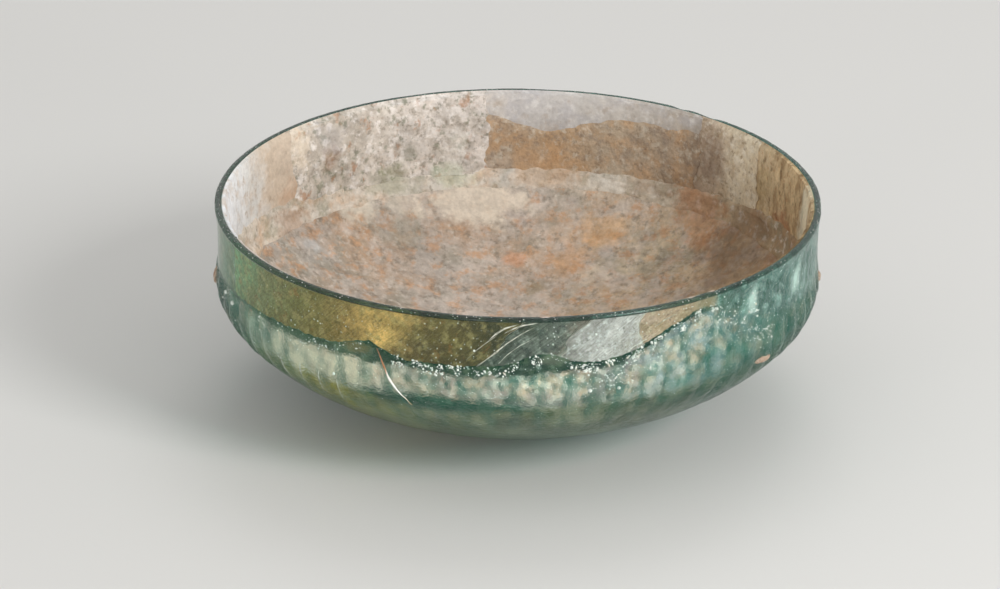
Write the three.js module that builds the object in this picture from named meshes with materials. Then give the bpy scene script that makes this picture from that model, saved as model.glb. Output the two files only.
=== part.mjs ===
import * as THREE from 'three';

// Cast bowl of blue-green glass with short upright ribs round its shoulder, and the layers
// that burial has left on the glass. Millimetres, +Z up. The origin is under the middle of
// the foot, and the front of the bowl faces -Y. Angles go from the front towards +X.

// Form of the glass
const bowlHeight = 45.3;
const rimRadius = 65;
const bulgeRadius = 64.5;
const bulgeHeight = 28.5;
const footRadius = 15;

// How far the two curves of the wall run on before they turn
const underbodyReach = 23;
const underbodyLift = 2.9;
const shoulderDrop = 12.5;
const shoulderRise = 4.5;
const neckDrop = 5.8;
const neckPull = 0.9;

// Thickness of the glass
const baseWall = 3;
const shoulderWall = 2.3;
const rimWall = 1.6;
const rimRound = 0.7;

// Ribs
const ribCount = 72;
const ribHeight = 0.6;
const ribFootWidth = 4.2;
const ribCrestWidth = 1.6;
const ribBottom = 19.5;
const ribTop = 31.5;

const ribEndFullness = 0.5;

// Layers on the inside of the glass
const seatGap = 0.3;
const jointGap = 0.35;
const floorCrustThickness = 1;
const shoulderCrustThickness = 0.8;
const layerEdgeThickness = 0.3;
const thinFilm = 0.35;
const thickFilm = 0.45;
const granularThickness = 0.9;
const floorCrustHeight = 22.5;
const frontShoulderCrust = 9.2;
const backShoulderCrust = 1.7;
const bareLineWidth = 0.9;
const filmTopDepth = 1.3;
const stackSplit = 0.42;

// Bare band of glass between the floor crust and the shoulder crust: its middle and half
// width in degrees, and its height
const bareBand = { middle: -16, halfWidth: 16, height: 5 };

// Where the lower edge of the films rises in a hump: middle and half width in degrees, and
// height as a share of the films' own height there
const edgeHumps = [
  { middle: -30, halfWidth: 5, height: 0.23 },
  { middle: 5, halfWidth: 6, height: 0.29 },
  { middle: 38, halfWidth: 14, height: 0.77 },
];

// Films on the upper wall, in their order round the bowl from the left of the front. Each
// sector ends at its angle, where the next begins. Two films in one sector lie one above
// the other.
const firstSectorStart = -70;
const filmSectors = [
  { end: -5, films: [{ name: 'front_gold_film', thickness: thinFilm, colour: 0x8d8158 }] },
  { end: 8.5, films: [{ name: 'front_grey_film', thickness: thinFilm, colour: 0x7f867f }] },
  { end: 24, films: [{ name: 'front_silver_film', thickness: thinFilm, colour: 0xb5aca4 }] },
  { end: 41, films: [{ name: 'front_tan_film', thickness: thinFilm, colour: 0x9b9173 }] },
  { end: 122, films: [{ name: 'right_ochre_film', thickness: thickFilm, colour: 0x8a7350 }] },
  { end: 140, films: [{ name: 'back_khaki_film', thickness: thickFilm, colour: 0xa3937a }] },
  {
    end: 187,
    films: [
      { name: 'back_lavender_film', thickness: thinFilm, colour: 0xb7adab },
      { name: 'back_brown_crust', thickness: thickFilm, colour: 0x8a6a50 },
    ],
  },
  {
    end: 232,
    films: [{ name: 'back_granular_crust', thickness: granularThickness, colour: 0xbfb2a2 }],
  },
  {
    end: firstSectorStart + 360,
    films: [{ name: 'left_chalk_film', thickness: thickFilm, colour: 0xd2c6be }],
  },
];

// Lumps of lime on the outside of the glass: angle in degrees, height of the middle, size
const lumpThickness = 0.5;
const lumpEdgeThickness = 0.15;
const lumpPointedness = 0.85;
const lumps = [
  { name: 'left_lump', angle: -87, height: 28.5, width: 3.2, tall: 4.2 },
  { name: 'right_lump', angle: 88, height: 28.5, width: 2.4, tall: 2.8 },
  { name: 'lower_right_lump', angle: 54, height: 24.5, width: 3.4, tall: 4 },
];

// Looks of the glass, the thick crusts, the films and the lumps
const glassLook = { colour: 0x6fb0a2, roughness: 0.15 };
const floorCrustLook = { colour: 0xa8917b, roughness: 0.95 };
const shoulderCrustLook = { colour: 0xb9a894, roughness: 0.95 };
const lumpLook = { colour: 0xd8c4b4, roughness: 0.9 };
const filmRoughness = 0.8;

// Fineness of the facets
const roundSteps = ribCount;
const underbodySteps = 5;
const ribSteps = 6;
const neckSteps = 3;
const lipSteps = 5;
const insideNeckSteps = 5;
const insideUnderbodySteps = 13;
const floorCrustSteps = 7;
const floorCrustRoundSteps = 40;
const layerStepAngle = 5;
const layerStepHeight = 4;
const lumpColumns = 6;
const lumpRows = 4;

const degrees = Math.PI / 180;
const ribPitch = 2 * Math.PI / ribCount;

// The outer wall, drawn from the edge of the foot to the rim as two curves that meet,
// upright, at the widest height. It ends under the rounded lip, where it flares a little.
const lipFlare = Math.atan2(neckPull, neckDrop);
const lipHeight = bowlHeight - rimRound - rimWall / 2 * Math.sin(lipFlare);
const underbody = new THREE.CubicBezierCurve(
  new THREE.Vector2(footRadius, 0),
  new THREE.Vector2(footRadius + underbodyReach, underbodyLift),
  new THREE.Vector2(bulgeRadius, bulgeHeight - shoulderDrop),
  new THREE.Vector2(bulgeRadius, bulgeHeight),
);
const neck = new THREE.CubicBezierCurve(
  new THREE.Vector2(bulgeRadius, bulgeHeight),
  new THREE.Vector2(bulgeRadius, bulgeHeight + shoulderRise),
  new THREE.Vector2(rimRadius - neckPull, lipHeight - neckDrop),
  new THREE.Vector2(rimRadius, lipHeight),
);
const outerWall = new THREE.CurvePath();
outerWall.add(underbody);
outerWall.add(neck);
const bulgeShare = underbody.getLength() / outerWall.getLength();

// A share runs from 0 at the edge of the foot to 1 under the lip.
function shareAtHeight(height) {
  let low = 0;
  let high = 1;
  for (let halving = 0; halving < 30; halving += 1) {
    const middle = (low + high) / 2;
    if (outerWall.getPoint(middle).y < height) {
      low = middle;
    } else {
      high = middle;
    }
  }
  return (low + high) / 2;
}

function wallThickness(share) {
  if (share < bulgeShare) {
    return THREE.MathUtils.lerp(baseWall, shoulderWall, share / bulgeShare);
  }
  return THREE.MathUtils.lerp(shoulderWall, rimWall, (share - bulgeShare) / (1 - bulgeShare));
}

// Radius and height of the point that lies a distance outside the outer wall.
function outsideWall(share, distance) {
  const along = outerWall.getTangent(share);
  const outward = new THREE.Vector2(along.y, -along.x);
  return outerWall.getPoint(share).addScaledVector(outward, distance);
}

// Radius and height of the point that lies a distance inside the bowl from its inner wall.
function insideWall(share, distance) {
  return outsideWall(share, -wallThickness(share) - distance);
}

function placed(angle, profilePoint) {
  const radius = profilePoint.x;
  return new THREE.Vector3(radius * Math.sin(angle), -radius * Math.cos(angle), profilePoint.y);
}

// A ring of evenly spaced points, the first in the valley before the first rib.
function plainRing(count, profilePoint) {
  const ring = [];
  for (let index = 0; index < count; index += 1) {
    ring.push(placed(-ribPitch / 2 + index * 2 * Math.PI / count, profilePoint));
  }
  return ring;
}

// A ring through the ribs has four points for each: the two sides of its foot and of its crest.
function ribbedRing(share, swell) {
  const valley = outsideWall(share, 0);
  const crest = outsideWall(share, swell);
  const footHalf = ribFootWidth / 2 / bulgeRadius;
  const crestHalf = ribCrestWidth / 2 / bulgeRadius;
  const ring = [];
  for (let rib = 0; rib < ribCount; rib += 1) {
    const middle = rib * ribPitch;
    ring.push(placed(middle - footHalf, valley));
    ring.push(placed(middle - crestHalf, crest));
    ring.push(placed(middle + crestHalf, crest));
    ring.push(placed(middle + footHalf, valley));
  }
  return ring;
}

function meshOf(name, points, triangles, look) {
  const geometry = new THREE.BufferGeometry().setFromPoints(points);
  geometry.setIndex(triangles);
  geometry.computeVertexNormals();
  const material = new THREE.MeshStandardMaterial({
    color: look.colour,
    roughness: look.roughness,
    metalness: 0,
  });
  const mesh = new THREE.Mesh(geometry, material);
  mesh.name = name;
  return mesh;
}

// A round solid skinned over rings of points, from a single point on the axis below it,
// up its outside and back down to a single point. The count of one ring divides the next.
function solidOfRings(name, rings, look) {
  const points = rings.flat();
  const triangles = [];
  let firstBelow = 0;
  for (let level = 0; level + 1 < rings.length; level += 1) {
    const below = rings[level].length;
    const above = rings[level + 1].length;
    const firstAbove = firstBelow + below;
    const lower = (index) => firstBelow + (index % below);
    const upper = (index) => firstAbove + (index % above);
    const pairs = Math.min(below, above);
    const perLower = below / pairs;
    const perUpper = above / pairs;
    for (let pair = 0; pair < pairs; pair += 1) {
      const low = pair * perLower;
      const high = pair * perUpper;
      const lowMiddle = low + Math.floor(perLower / 2);
      const highMiddle = high + Math.floor(perUpper / 2);
      for (let step = low; perLower > 1 && step < low + perLower; step += 1) {
        const apex = step < lowMiddle ? high : high + 1;
        triangles.push(lower(step), lower(step + 1), upper(apex));
      }
      for (let step = high; perUpper > 1 && step < high + perUpper; step += 1) {
        const apex = step < highMiddle ? low : low + 1;
        triangles.push(lower(apex), upper(step + 1), upper(step));
      }
      if (perLower === 1 && perUpper === 1) {
        triangles.push(lower(low), lower(low + 1), upper(high));
        triangles.push(lower(low + 1), upper(high + 1), upper(high));
      } else if (perLower === 1 && below > 1) {
        triangles.push(lower(low), lower(low + 1), upper(highMiddle));
      } else if (perUpper === 1 && above > 1) {
        triangles.push(lower(lowMiddle), upper(high + 1), upper(high));
      }
    }
    firstBelow = firstAbove;
  }
  return meshOf(name, points, triangles, look);
}

// A solid skinned over upright sections that follow each other round the bowl. A section
// goes up its outer side and down its inner side. It runs all the way round, or has two ends.
function solidOfSections(name, sections, allRound, look) {
  const points = sections.flat();
  const triangles = [];
  const size = sections[0].length;
  const last = allRound ? sections.length : sections.length - 1;
  for (let place = 0; place < last; place += 1) {
    const here = place * size;
    const next = ((place + 1) % sections.length) * size;
    for (let corner = 0; corner < size; corner += 1) {
      const after = (corner + 1) % size;
      triangles.push(here + corner, next + corner, here + after);
      triangles.push(next + corner, next + after, here + after);
    }
  }
  if (!allRound) {
    const end = last * size;
    for (let row = 0; row + 1 < size / 2; row += 1) {
      const across = size - 1 - row;
      triangles.push(row, row + 1, across - 1);
      triangles.push(row, across - 1, across);
      triangles.push(end + row, end + across - 1, end + row + 1);
      triangles.push(end + row, end + across, end + across - 1);
    }
  }
  return meshOf(name, points, triangles, look);
}

// The bowl itself, one casting: foot, underbody, ribs, neck, rounded lip and inside.
function glassBowl() {
  const ribStart = shareAtHeight(ribBottom);
  const ribEnd = shareAtHeight(ribTop);
  const rings = [[new THREE.Vector3(0, 0, 0)]];
  for (let step = 0; step < underbodySteps; step += 1) {
    const share = ribStart * step / underbodySteps;
    rings.push(plainRing(roundSteps, outsideWall(share, 0)));
  }
  for (let step = 0; step <= ribSteps; step += 1) {
    const along = step / ribSteps;
    const swell = ribHeight * Math.max(0, Math.sin(Math.PI * along)) ** ribEndFullness;
    rings.push(ribbedRing(THREE.MathUtils.lerp(ribStart, ribEnd, along), swell));
  }
  for (let step = 1; step <= neckSteps; step += 1) {
    const share = THREE.MathUtils.lerp(ribEnd, 1, step / neckSteps);
    rings.push(plainRing(2 * roundSteps, outsideWall(share, 0)));
  }
  const lipAlong = outerWall.getTangent(1);
  const lipMiddle = outsideWall(1, -rimWall / 2);
  const lipHalf = outsideWall(1, 0).sub(lipMiddle);
  for (let step = 1; step < lipSteps; step += 1) {
    const turn = Math.PI * step / lipSteps;
    const onLip = lipMiddle.clone();
    onLip.addScaledVector(lipHalf, Math.cos(turn));
    onLip.addScaledVector(lipAlong, rimRound * Math.sin(turn));
    rings.push(plainRing(2 * roundSteps, onLip));
  }
  rings.push(plainRing(2 * roundSteps, insideWall(1, 0)));
  for (let step = 1; step <= insideNeckSteps; step += 1) {
    const share = THREE.MathUtils.lerp(1, bulgeShare, step / insideNeckSteps);
    rings.push(plainRing(roundSteps, insideWall(share, 0)));
  }
  for (let step = 1; step <= insideUnderbodySteps; step += 1) {
    const share = bulgeShare * (1 - step / insideUnderbodySteps);
    rings.push(plainRing(roundSteps, insideWall(share, 0)));
  }
  rings.push([new THREE.Vector3(0, 0, baseWall)]);
  return solidOfRings('glass_bowl', rings, glassLook);
}

// Height at an angle, in degrees, of a smooth hump that stands round its middle angle
function humpAt(angle, hump) {
  const away = THREE.MathUtils.euclideanModulo(angle - hump.middle + 180, 360) - 180;
  return hump.height * Math.exp(-((away / hump.halfWidth) ** 2));
}

// Upper edge of the floor crust and lower edge of the shoulder crust. At the left of the
// front they draw apart and leave the bare band.
function floorCrustEdge(angle) {
  return floorCrustHeight - humpAt(angle, bareBand) / 2;
}

function shoulderCrustFoot(angle) {
  return floorCrustHeight + jointGap + humpAt(angle, bareBand) / 2;
}

// Wavy lower edge of the films on the upper wall. The shoulder crust under it is broad at
// the front, where it climbs nearly to the rim at the right, and narrow at the back.
function filmEdge(angle) {
  const backness = ((1 - Math.cos(angle * degrees)) / 2) ** 2;
  const crustBelow = THREE.MathUtils.lerp(frontShoulderCrust, backShoulderCrust, backness);
  const foot = floorCrustHeight + jointGap + crustBelow + bareLineWidth;
  let rise = 0;
  for (const hump of edgeHumps) {
    rise += humpAt(angle, hump);
  }
  return THREE.MathUtils.lerp(foot, bowlHeight - filmTopDepth, rise);
}

// Crust on the floor, a shallow dish of earth and lime that lies in the bowl
function floorCrust() {
  const lowMiddle = baseWall + seatGap;
  const under = [];
  const over = [];
  for (let step = 0; step <= floorCrustSteps; step += 1) {
    const lowRing = [];
    const highRing = [];
    for (let index = 0; index < floorCrustRoundSteps; index += 1) {
      const angle = index * 2 * Math.PI / floorCrustRoundSteps;
      const share = shareAtHeight(floorCrustEdge(angle / degrees)) * step / floorCrustSteps;
      const thickness = step === floorCrustSteps ? layerEdgeThickness : floorCrustThickness;
      lowRing.push(placed(angle, insideWall(share, seatGap)));
      highRing.push(placed(angle, insideWall(share, seatGap + thickness)));
    }
    under.push(lowRing);
    over.unshift(highRing);
  }
  const lowPoint = new THREE.Vector3(0, 0, lowMiddle);
  const highPoint = new THREE.Vector3(0, 0, lowMiddle + floorCrustThickness);
  const rings = [[lowPoint], ...under, ...over, [highPoint]];
  return solidOfRings('floor_crust', rings, floorCrustLook);
}

// The upright sections of a layer on the inner wall at some angles, between two edges whose
// heights follow the angle. The layer is thin at both edges.
function layerSections(angles, bottomAt, topAt, thickness) {
  const shares = angles.map((angle) => [shareAtHeight(bottomAt(angle)), shareAtHeight(topAt(angle))]);
  const tallest = Math.max(...shares.map(([low, high]) => high - low)) * outerWall.getLength();
  const rows = Math.max(2, Math.ceil(tallest / layerStepHeight));
  return angles.map((angle, index) => {
    const [low, high] = shares[index];
    const outer = [];
    const inner = [];
    for (let row = 0; row <= rows; row += 1) {
      const share = THREE.MathUtils.lerp(low, high, row / rows);
      const atEdge = row === 0 || row === rows;
      const depth = atEdge ? layerEdgeThickness : thickness;
      outer.push(placed(angle * degrees, insideWall(share, seatGap)));
      inner.unshift(placed(angle * degrees, insideWall(share, seatGap + depth)));
    }
    return [...outer, ...inner];
  });
}

// Crust behind the ribs, an unbroken ring between the floor crust and the films
function shoulderCrust() {
  const angles = [];
  for (let angle = 0; angle < 360; angle += layerStepAngle) {
    angles.push(angle);
  }
  const topAt = (angle) => filmEdge(angle) - bareLineWidth;
  const sections = layerSections(angles, shoulderCrustFoot, topAt, shoulderCrustThickness);
  return solidOfSections('shoulder_crust', sections, true, shoulderCrustLook);
}

// A film on one sector of the upper wall, between two edges whose heights follow the angle.
// Half of the joint with each neighbour is left free at its ends.
function wallFilm(film, start, end, bottomAt, topAt) {
  const jointHalf = jointGap / 2 / (bulgeRadius - shoulderWall) / degrees;
  const columns = Math.ceil((end - start) / layerStepAngle);
  const angles = [];
  for (let column = 0; column <= columns; column += 1) {
    angles.push(THREE.MathUtils.lerp(start + jointHalf, end - jointHalf, column / columns));
  }
  const sections = layerSections(angles, bottomAt, topAt, film.thickness);
  const look = { colour: film.colour, roughness: filmRoughness };
  return solidOfSections(film.name, sections, false, look);
}

function wallFilms() {
  const filmTop = bowlHeight - filmTopDepth;
  const splitAt = (angle) => THREE.MathUtils.lerp(filmTop, filmEdge(angle), stackSplit);
  const meshes = [];
  let start = firstSectorStart;
  for (const { end, films } of filmSectors) {
    const [upper, lower] = films;
    meshes.push(wallFilm(upper, start, end, lower ? splitAt : filmEdge, () => filmTop));
    if (lower) {
      meshes.push(wallFilm(lower, start, end, filmEdge, (angle) => splitAt(angle) - jointGap));
    }
    start = end;
  }
  return meshes;
}

// A lump of lime that has grown on the outside, domed, and seated over the crests of the ribs
function wallLump(lump) {
  const halfAngle = lump.width / 2 / bulgeRadius / degrees;
  const seat = ribHeight + seatGap;
  const sections = [];
  for (let column = 0; column <= lumpColumns; column += 1) {
    const across = 2 * column / lumpColumns - 1;
    const reach = lump.tall / 2 * Math.sqrt(1 - lumpPointedness * across ** 2);
    const low = shareAtHeight(lump.height - reach);
    const high = shareAtHeight(lump.height + reach);
    const angle = (lump.angle + across * halfAngle) * degrees;
    const outer = [];
    const inner = [];
    for (let row = 0; row <= lumpRows; row += 1) {
      const share = THREE.MathUtils.lerp(low, high, row / lumpRows);
      const up = 2 * row / lumpRows - 1;
      const dome = Math.sqrt((1 - across ** 2) * (1 - up ** 2));
      const thickness = THREE.MathUtils.lerp(lumpEdgeThickness, lumpThickness, dome);
      outer.push(placed(angle, outsideWall(share, seat + thickness)));
      inner.unshift(placed(angle, outsideWall(share, seat)));
    }
    sections.push([...outer, ...inner]);
  }
  return solidOfSections(lump.name, sections, false, lumpLook);
}

const ribbedBowl = new THREE.Group();
ribbedBowl.name = 'ribbed_bowl';
ribbedBowl.add(glassBowl());
ribbedBowl.add(floorCrust());
ribbedBowl.add(shoulderCrust());
ribbedBowl.add(...wallFilms());
ribbedBowl.add(...lumps.map(wallLump));

export default ribbedBowl;
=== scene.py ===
import math
import random

import bmesh
import bpy
import numpy as np
from mathutils import Matrix, Vector, geometry, noise


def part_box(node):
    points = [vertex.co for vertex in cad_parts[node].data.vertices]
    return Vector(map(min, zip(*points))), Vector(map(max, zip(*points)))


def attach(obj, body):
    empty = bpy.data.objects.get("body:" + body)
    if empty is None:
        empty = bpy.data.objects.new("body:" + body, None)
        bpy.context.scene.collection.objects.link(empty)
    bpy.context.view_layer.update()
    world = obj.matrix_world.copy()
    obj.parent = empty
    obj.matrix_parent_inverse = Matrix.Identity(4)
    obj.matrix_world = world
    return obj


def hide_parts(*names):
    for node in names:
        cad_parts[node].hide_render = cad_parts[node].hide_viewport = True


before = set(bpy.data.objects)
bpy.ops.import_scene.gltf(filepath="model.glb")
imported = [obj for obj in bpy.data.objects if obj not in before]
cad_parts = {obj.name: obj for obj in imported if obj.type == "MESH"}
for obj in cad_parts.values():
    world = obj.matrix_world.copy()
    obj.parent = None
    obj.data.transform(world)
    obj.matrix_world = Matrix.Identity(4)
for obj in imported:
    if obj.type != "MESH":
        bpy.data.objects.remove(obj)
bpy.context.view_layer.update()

mm = 0.001

# Camera. It looks down into the bowl from the front, from well over a metre, with a long
# lens and a slight roll, as a small vessel is photographed on a table.
rim_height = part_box("glass_bowl")[1].z
camera_tilt = math.radians(23.234)
camera_roll = math.radians(0.391)
rim_distance = 1400 * mm
camera_aside = -3.72 * mm
camera_above = -20.691 * mm
lens_length = 235.4

ahead = Vector((0, math.cos(camera_tilt), -math.sin(camera_tilt)))
aside = Vector((1, 0, 0))
upright = aside.cross(ahead)
turned_aside = math.cos(camera_roll) * aside + math.sin(camera_roll) * upright
turned_upright = math.cos(camera_roll) * upright - math.sin(camera_roll) * aside
camera = bpy.data.objects.new("camera", bpy.data.cameras.new("camera"))
camera.data.lens = lens_length
camera.data.sensor_width = 36
camera.matrix_world = Matrix.Translation(
    Vector((0, 0, rim_height)) + camera_aside * aside + camera_above * upright
    - rim_distance * ahead
) @ Matrix((turned_aside, turned_upright, -ahead)).transposed().to_4x4()
bpy.context.scene.collection.objects.link(camera)
bpy.context.scene.camera = camera
bpy.context.scene.view_settings.view_transform = "Standard"


# Stage. A pale table top that runs out of sight under a pale surround, lit by soft boxes
# from above at the right and the back, and by two low ones at the sides that draw the
# glints on the glass. The lamps don't show through the glass.
def paint(red, green, blue):
    """A colour as a shader takes it, from the three values of a colour picker, 0 to 255."""
    values = [part / 255 for part in (red, green, blue)]
    return [value / 12.92 if value < 0.04045 else ((value + 0.055) / 1.055) ** 2.4
            for value in values] + [1]


def add_node(tree, kind, inputs=(), **settings):
    """A node with its settings. Each input is a plain value or the output of another node."""
    node = tree.nodes.new(kind)
    for name, value in settings.items():
        setattr(node, name, value)
    for name, value in dict(inputs).items():
        if isinstance(value, bpy.types.NodeSocket):
            tree.links.new(value, node.inputs[name])
        else:
            node.inputs[name].default_value = value
    return node


def compute(tree, operation, first, second=0.0, third=0.0):
    """The output of one Math node."""
    inputs = {0: first, 1: second, 2: third}
    return add_node(tree, "ShaderNodeMath", inputs, operation=operation).outputs[0]


ambient_level = 0.52
background_level = 0.86
floor_size = 4.0
floor_drop = 0.05 * mm

world = bpy.data.worlds.new("pale_surround")
world.use_nodes = True
bpy.context.scene.world = world
seen = add_node(world.node_tree, "ShaderNodeLightPath").outputs
seen_or_mirrored = compute(world.node_tree, "MAXIMUM", seen["Is Camera Ray"], seen["Is Glossy Ray"])
seen_or_mirrored = compute(world.node_tree, "MAXIMUM", seen_or_mirrored, seen["Is Transmission Ray"])
extra_level = background_level - ambient_level
level = compute(world.node_tree, "MULTIPLY_ADD", seen_or_mirrored, extra_level, ambient_level)
surround = world.node_tree.nodes["Background"]
surround.inputs["Color"].default_value = (1, 0.995, 0.985, 1)
world.node_tree.links.new(level, surround.inputs["Strength"])

table = bmesh.new()
bmesh.ops.create_grid(table, x_segments=1, y_segments=1, size=floor_size / 2)
bmesh.ops.translate(table, verts=table.verts, vec=(0, 0, -floor_drop))
floor = bpy.data.objects.new("table_top", bpy.data.meshes.new("table_top"))
table.to_mesh(floor.data)
table.free()
bpy.context.scene.collection.objects.link(floor)
floor_paint = bpy.data.materials.new("pale_floor")
floor_paint.use_nodes = True
floor_shader = floor_paint.node_tree.nodes["Principled BSDF"]
floor_shader.inputs["Base Color"].default_value = paint(226, 225, 222)
floor_shader.inputs["Roughness"].default_value = 0.7
floor.data.materials.append(floor_paint)

lamps = [
    {"name": "key_lamp", "place": (0.72, -0.66, 0.62), "size": 0.36, "power": 7.0},
    {"name": "back_lamp", "place": (0.10, 0.60, 0.90), "size": 0.50, "power": 1.4},
    {"name": "low_left_lamp", "place": (-0.75, -0.62, 0.12), "size": 0.12, "power": 1.4},
    {"name": "low_front_lamp", "place": (-0.22, -0.95, 0.08), "size": 0.10, "power": 0.9},
    {"name": "low_right_lamp", "place": (0.68, -0.70, 0.10), "size": 0.12, "power": 1.4},
]
for lamp in lamps:
    light = bpy.data.lights.new(lamp["name"], "AREA")
    light.size = lamp["size"]
    light.energy = lamp["power"]
    holder = bpy.data.objects.new(lamp["name"], light)
    holder.location = lamp["place"]
    towards_bowl = Vector((0, 0, rim_height / 2)) - holder.location
    holder.rotation_euler = towards_bowl.to_track_quat("-Z", "Y").to_euler()
    holder.visible_transmission = False
    holder.visible_camera = False
    bpy.context.scene.collection.objects.link(holder)


# Glass bowl. One casting of blue-green glass, with 72 short upright ribs round the
# shoulder, hand-ground so that no part is quite even. Under a wavy line, and up to the rim
# at the right, its outside is pitted and rough. Over the line it is still polished.
foot_radius = 15 * mm
rim_radius = 65 * mm
bulge_radius = 64.5 * mm
bulge_height = 28.5 * mm
underbody_reach = 23 * mm
underbody_lift = 2.9 * mm
shoulder_drop = 12.5 * mm
shoulder_rise = 4.5 * mm
neck_drop = 5.8 * mm
neck_pull = 0.9 * mm
base_wall = 3 * mm
shoulder_wall = 2.3 * mm
rim_wall = 1.6 * mm
rim_round = 0.7 * mm

rib_count = 72
rib_height = 0.6 * mm
rib_width = 4.0 * mm
rib_bottom = 19.5 * mm
rib_top = 31.5 * mm
rib_crest_share = 0.2
rib_unevenness = 0.3
rib_lean = 0.6 * mm
rib_top_sway = 2 * mm
rib_pitch = 2 * math.pi / rib_count

round_steps = 720
underbody_steps = 44
neck_steps = 20
lip_steps = 8
inside_steps = 32

hand_waviness = 0.10 * mm
hand_wave_length = 16 * mm
even_foot = 6 * mm
pitted_relief = 0.10 * mm
pitted_wave_length = 2.2 * mm
smooth_foot = 4 * mm
pitted_edge = 0.8 * mm
pitted_flank = {"middle": 105, "half_width": 150 / 2.05, "fade": 12 / 2.05}
rim_waviness = 0.18 * mm
rim_wave_length = 9 * mm
rim_chipping = 0.05 * mm
rim_chip_length = 1.6 * mm
least_rim_dip = 0.01 * mm
rim_nicks = [
    {"angle": 5.1, "width": 0.7, "depth": 0.45 * mm},
    {"angle": 34.5, "width": 0.8, "depth": 0.40 * mm},
    {"angle": 39.8, "width": 1.3, "depth": 0.35 * mm},
    {"angle": -22.0, "width": 0.6, "depth": 0.20 * mm},
    {"angle": 139.0, "width": 2.2, "depth": 0.45 * mm},
    {"angle": 146.0, "width": 1.6, "depth": 0.35 * mm},
]

lip_flare = math.atan2(neck_pull, neck_drop)
lip_height = rim_height - rim_round - rim_wall / 2 * math.sin(lip_flare)
underbody_line = geometry.interpolate_bezier(
    (foot_radius, 0), (foot_radius + underbody_reach, underbody_lift),
    (bulge_radius, bulge_height - shoulder_drop), (bulge_radius, bulge_height), 120,
)
neck_line = geometry.interpolate_bezier(
    (bulge_radius, bulge_height), (bulge_radius, bulge_height + shoulder_rise),
    (rim_radius - neck_pull, lip_height - neck_drop), (rim_radius, lip_height), 60,
)
wall_line = np.array([point[:2] for point in underbody_line[:-1] + neck_line])
stretches = np.linalg.norm(np.diff(wall_line, axis=0), axis=1)
wall_length = stretches.sum()
wall_shares = np.append(0, np.cumsum(stretches)) / wall_length
wall_tangents = np.gradient(wall_line, wall_shares, axis=0)
wall_tangents /= np.linalg.norm(wall_tangents, axis=1)[:, None]
bulge_share = wall_shares[len(underbody_line) - 1]


def share_at_height(height):
    """Share of the outer wall's length, from the foot's edge to the lip, at a height."""
    return float(np.interp(height, wall_line[:, 1], wall_shares))


def wall_tangent(share):
    """Direction, as radius and height, in which the outer wall climbs."""
    return Vector([np.interp(share, wall_shares, wall_tangents[:, axis]) for axis in (0, 1)])


def wall_place(share, inward=0.0):
    """Radius and height of the point that lies a distance inside the outer wall."""
    point = Vector([np.interp(share, wall_shares, wall_line[:, axis]) for axis in (0, 1)])
    tangent = wall_tangent(share)
    return point + inward * Vector((-tangent.y, tangent.x))


def wall_thickness(share):
    """Thickness of the glass at a share of the wall."""
    return float(np.interp(share, (0, bulge_share, 1), (base_wall, shoulder_wall, rim_wall)))


def lip_place(turn, outward=0.0):
    """Radius and height on the rounded lip, at a turn from its inner side, 0, to its outer."""
    tangent = wall_tangent(1)
    outside = Vector((tangent.y, -tangent.x))
    across = -(rim_wall / 2 + outward) * math.cos(turn) * outside
    return wall_place(1, rim_wall / 2) + across + (rim_round + outward) * math.sin(turn) * tangent


def turned(angle, place):
    """A point at an angle from the front, towards the right, from its radius and height."""
    return Vector((place.x * math.sin(angle), -place.x * math.cos(angle), place.y))


def hump(angle, middle, half_width):
    """A smooth hump of height 1 at a middle angle, all in degrees."""
    away = (angle - middle + 180) % 360 - 180
    return math.exp(-((away / half_width) ** 2))


def ripple(angle, height, size, seed=0.0):
    """Smooth noise from -1 to 1 that runs round the bowl, in waves of about a size."""
    spot = turned(angle, Vector((bulge_radius, height))) / size
    return noise.noise(spot + Vector((seed, 2.3 * seed, -seed)))


floor_crust_height = 22.5 * mm
joint_gap = 0.35 * mm
front_shoulder_crust = 9.2 * mm
back_shoulder_crust = 1.7 * mm
bare_line_width = 0.9 * mm
film_top_depth = 1.3 * mm
bare_band = {"middle": -16, "half_width": 16, "height": 5 * mm}

# Humps of the wavy line: middle, half width, and height as a share of the way to its top
edge_humps = [(-30, 5, 0.23), (5, 6, 0.29), (38, 14, 0.77)]


def film_edge(angle):
    """Height of the wavy line in which the films on the upper wall end, at degrees."""
    backness = ((1 - math.cos(math.radians(angle))) / 2) ** 2
    crust = (1 - backness) * front_shoulder_crust + backness * back_shoulder_crust
    foot = floor_crust_height + joint_gap + crust + bare_line_width
    rise = sum(height * hump(angle, middle, half) for middle, half, height in edge_humps)
    return foot + rise * (rim_height - film_top_depth - foot)


def pitted(angle, height):
    """How pitted the outside of the glass is, from 0, polished, to 1."""
    below = 0.5 - (height - film_edge(angle)) / pitted_edge
    away = abs((angle - pitted_flank["middle"] + 180) % 360 - 180)
    on_flank = (pitted_flank["half_width"] - away) / pitted_flank["fade"]
    return min(max(below, on_flank, 0), 1)


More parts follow.
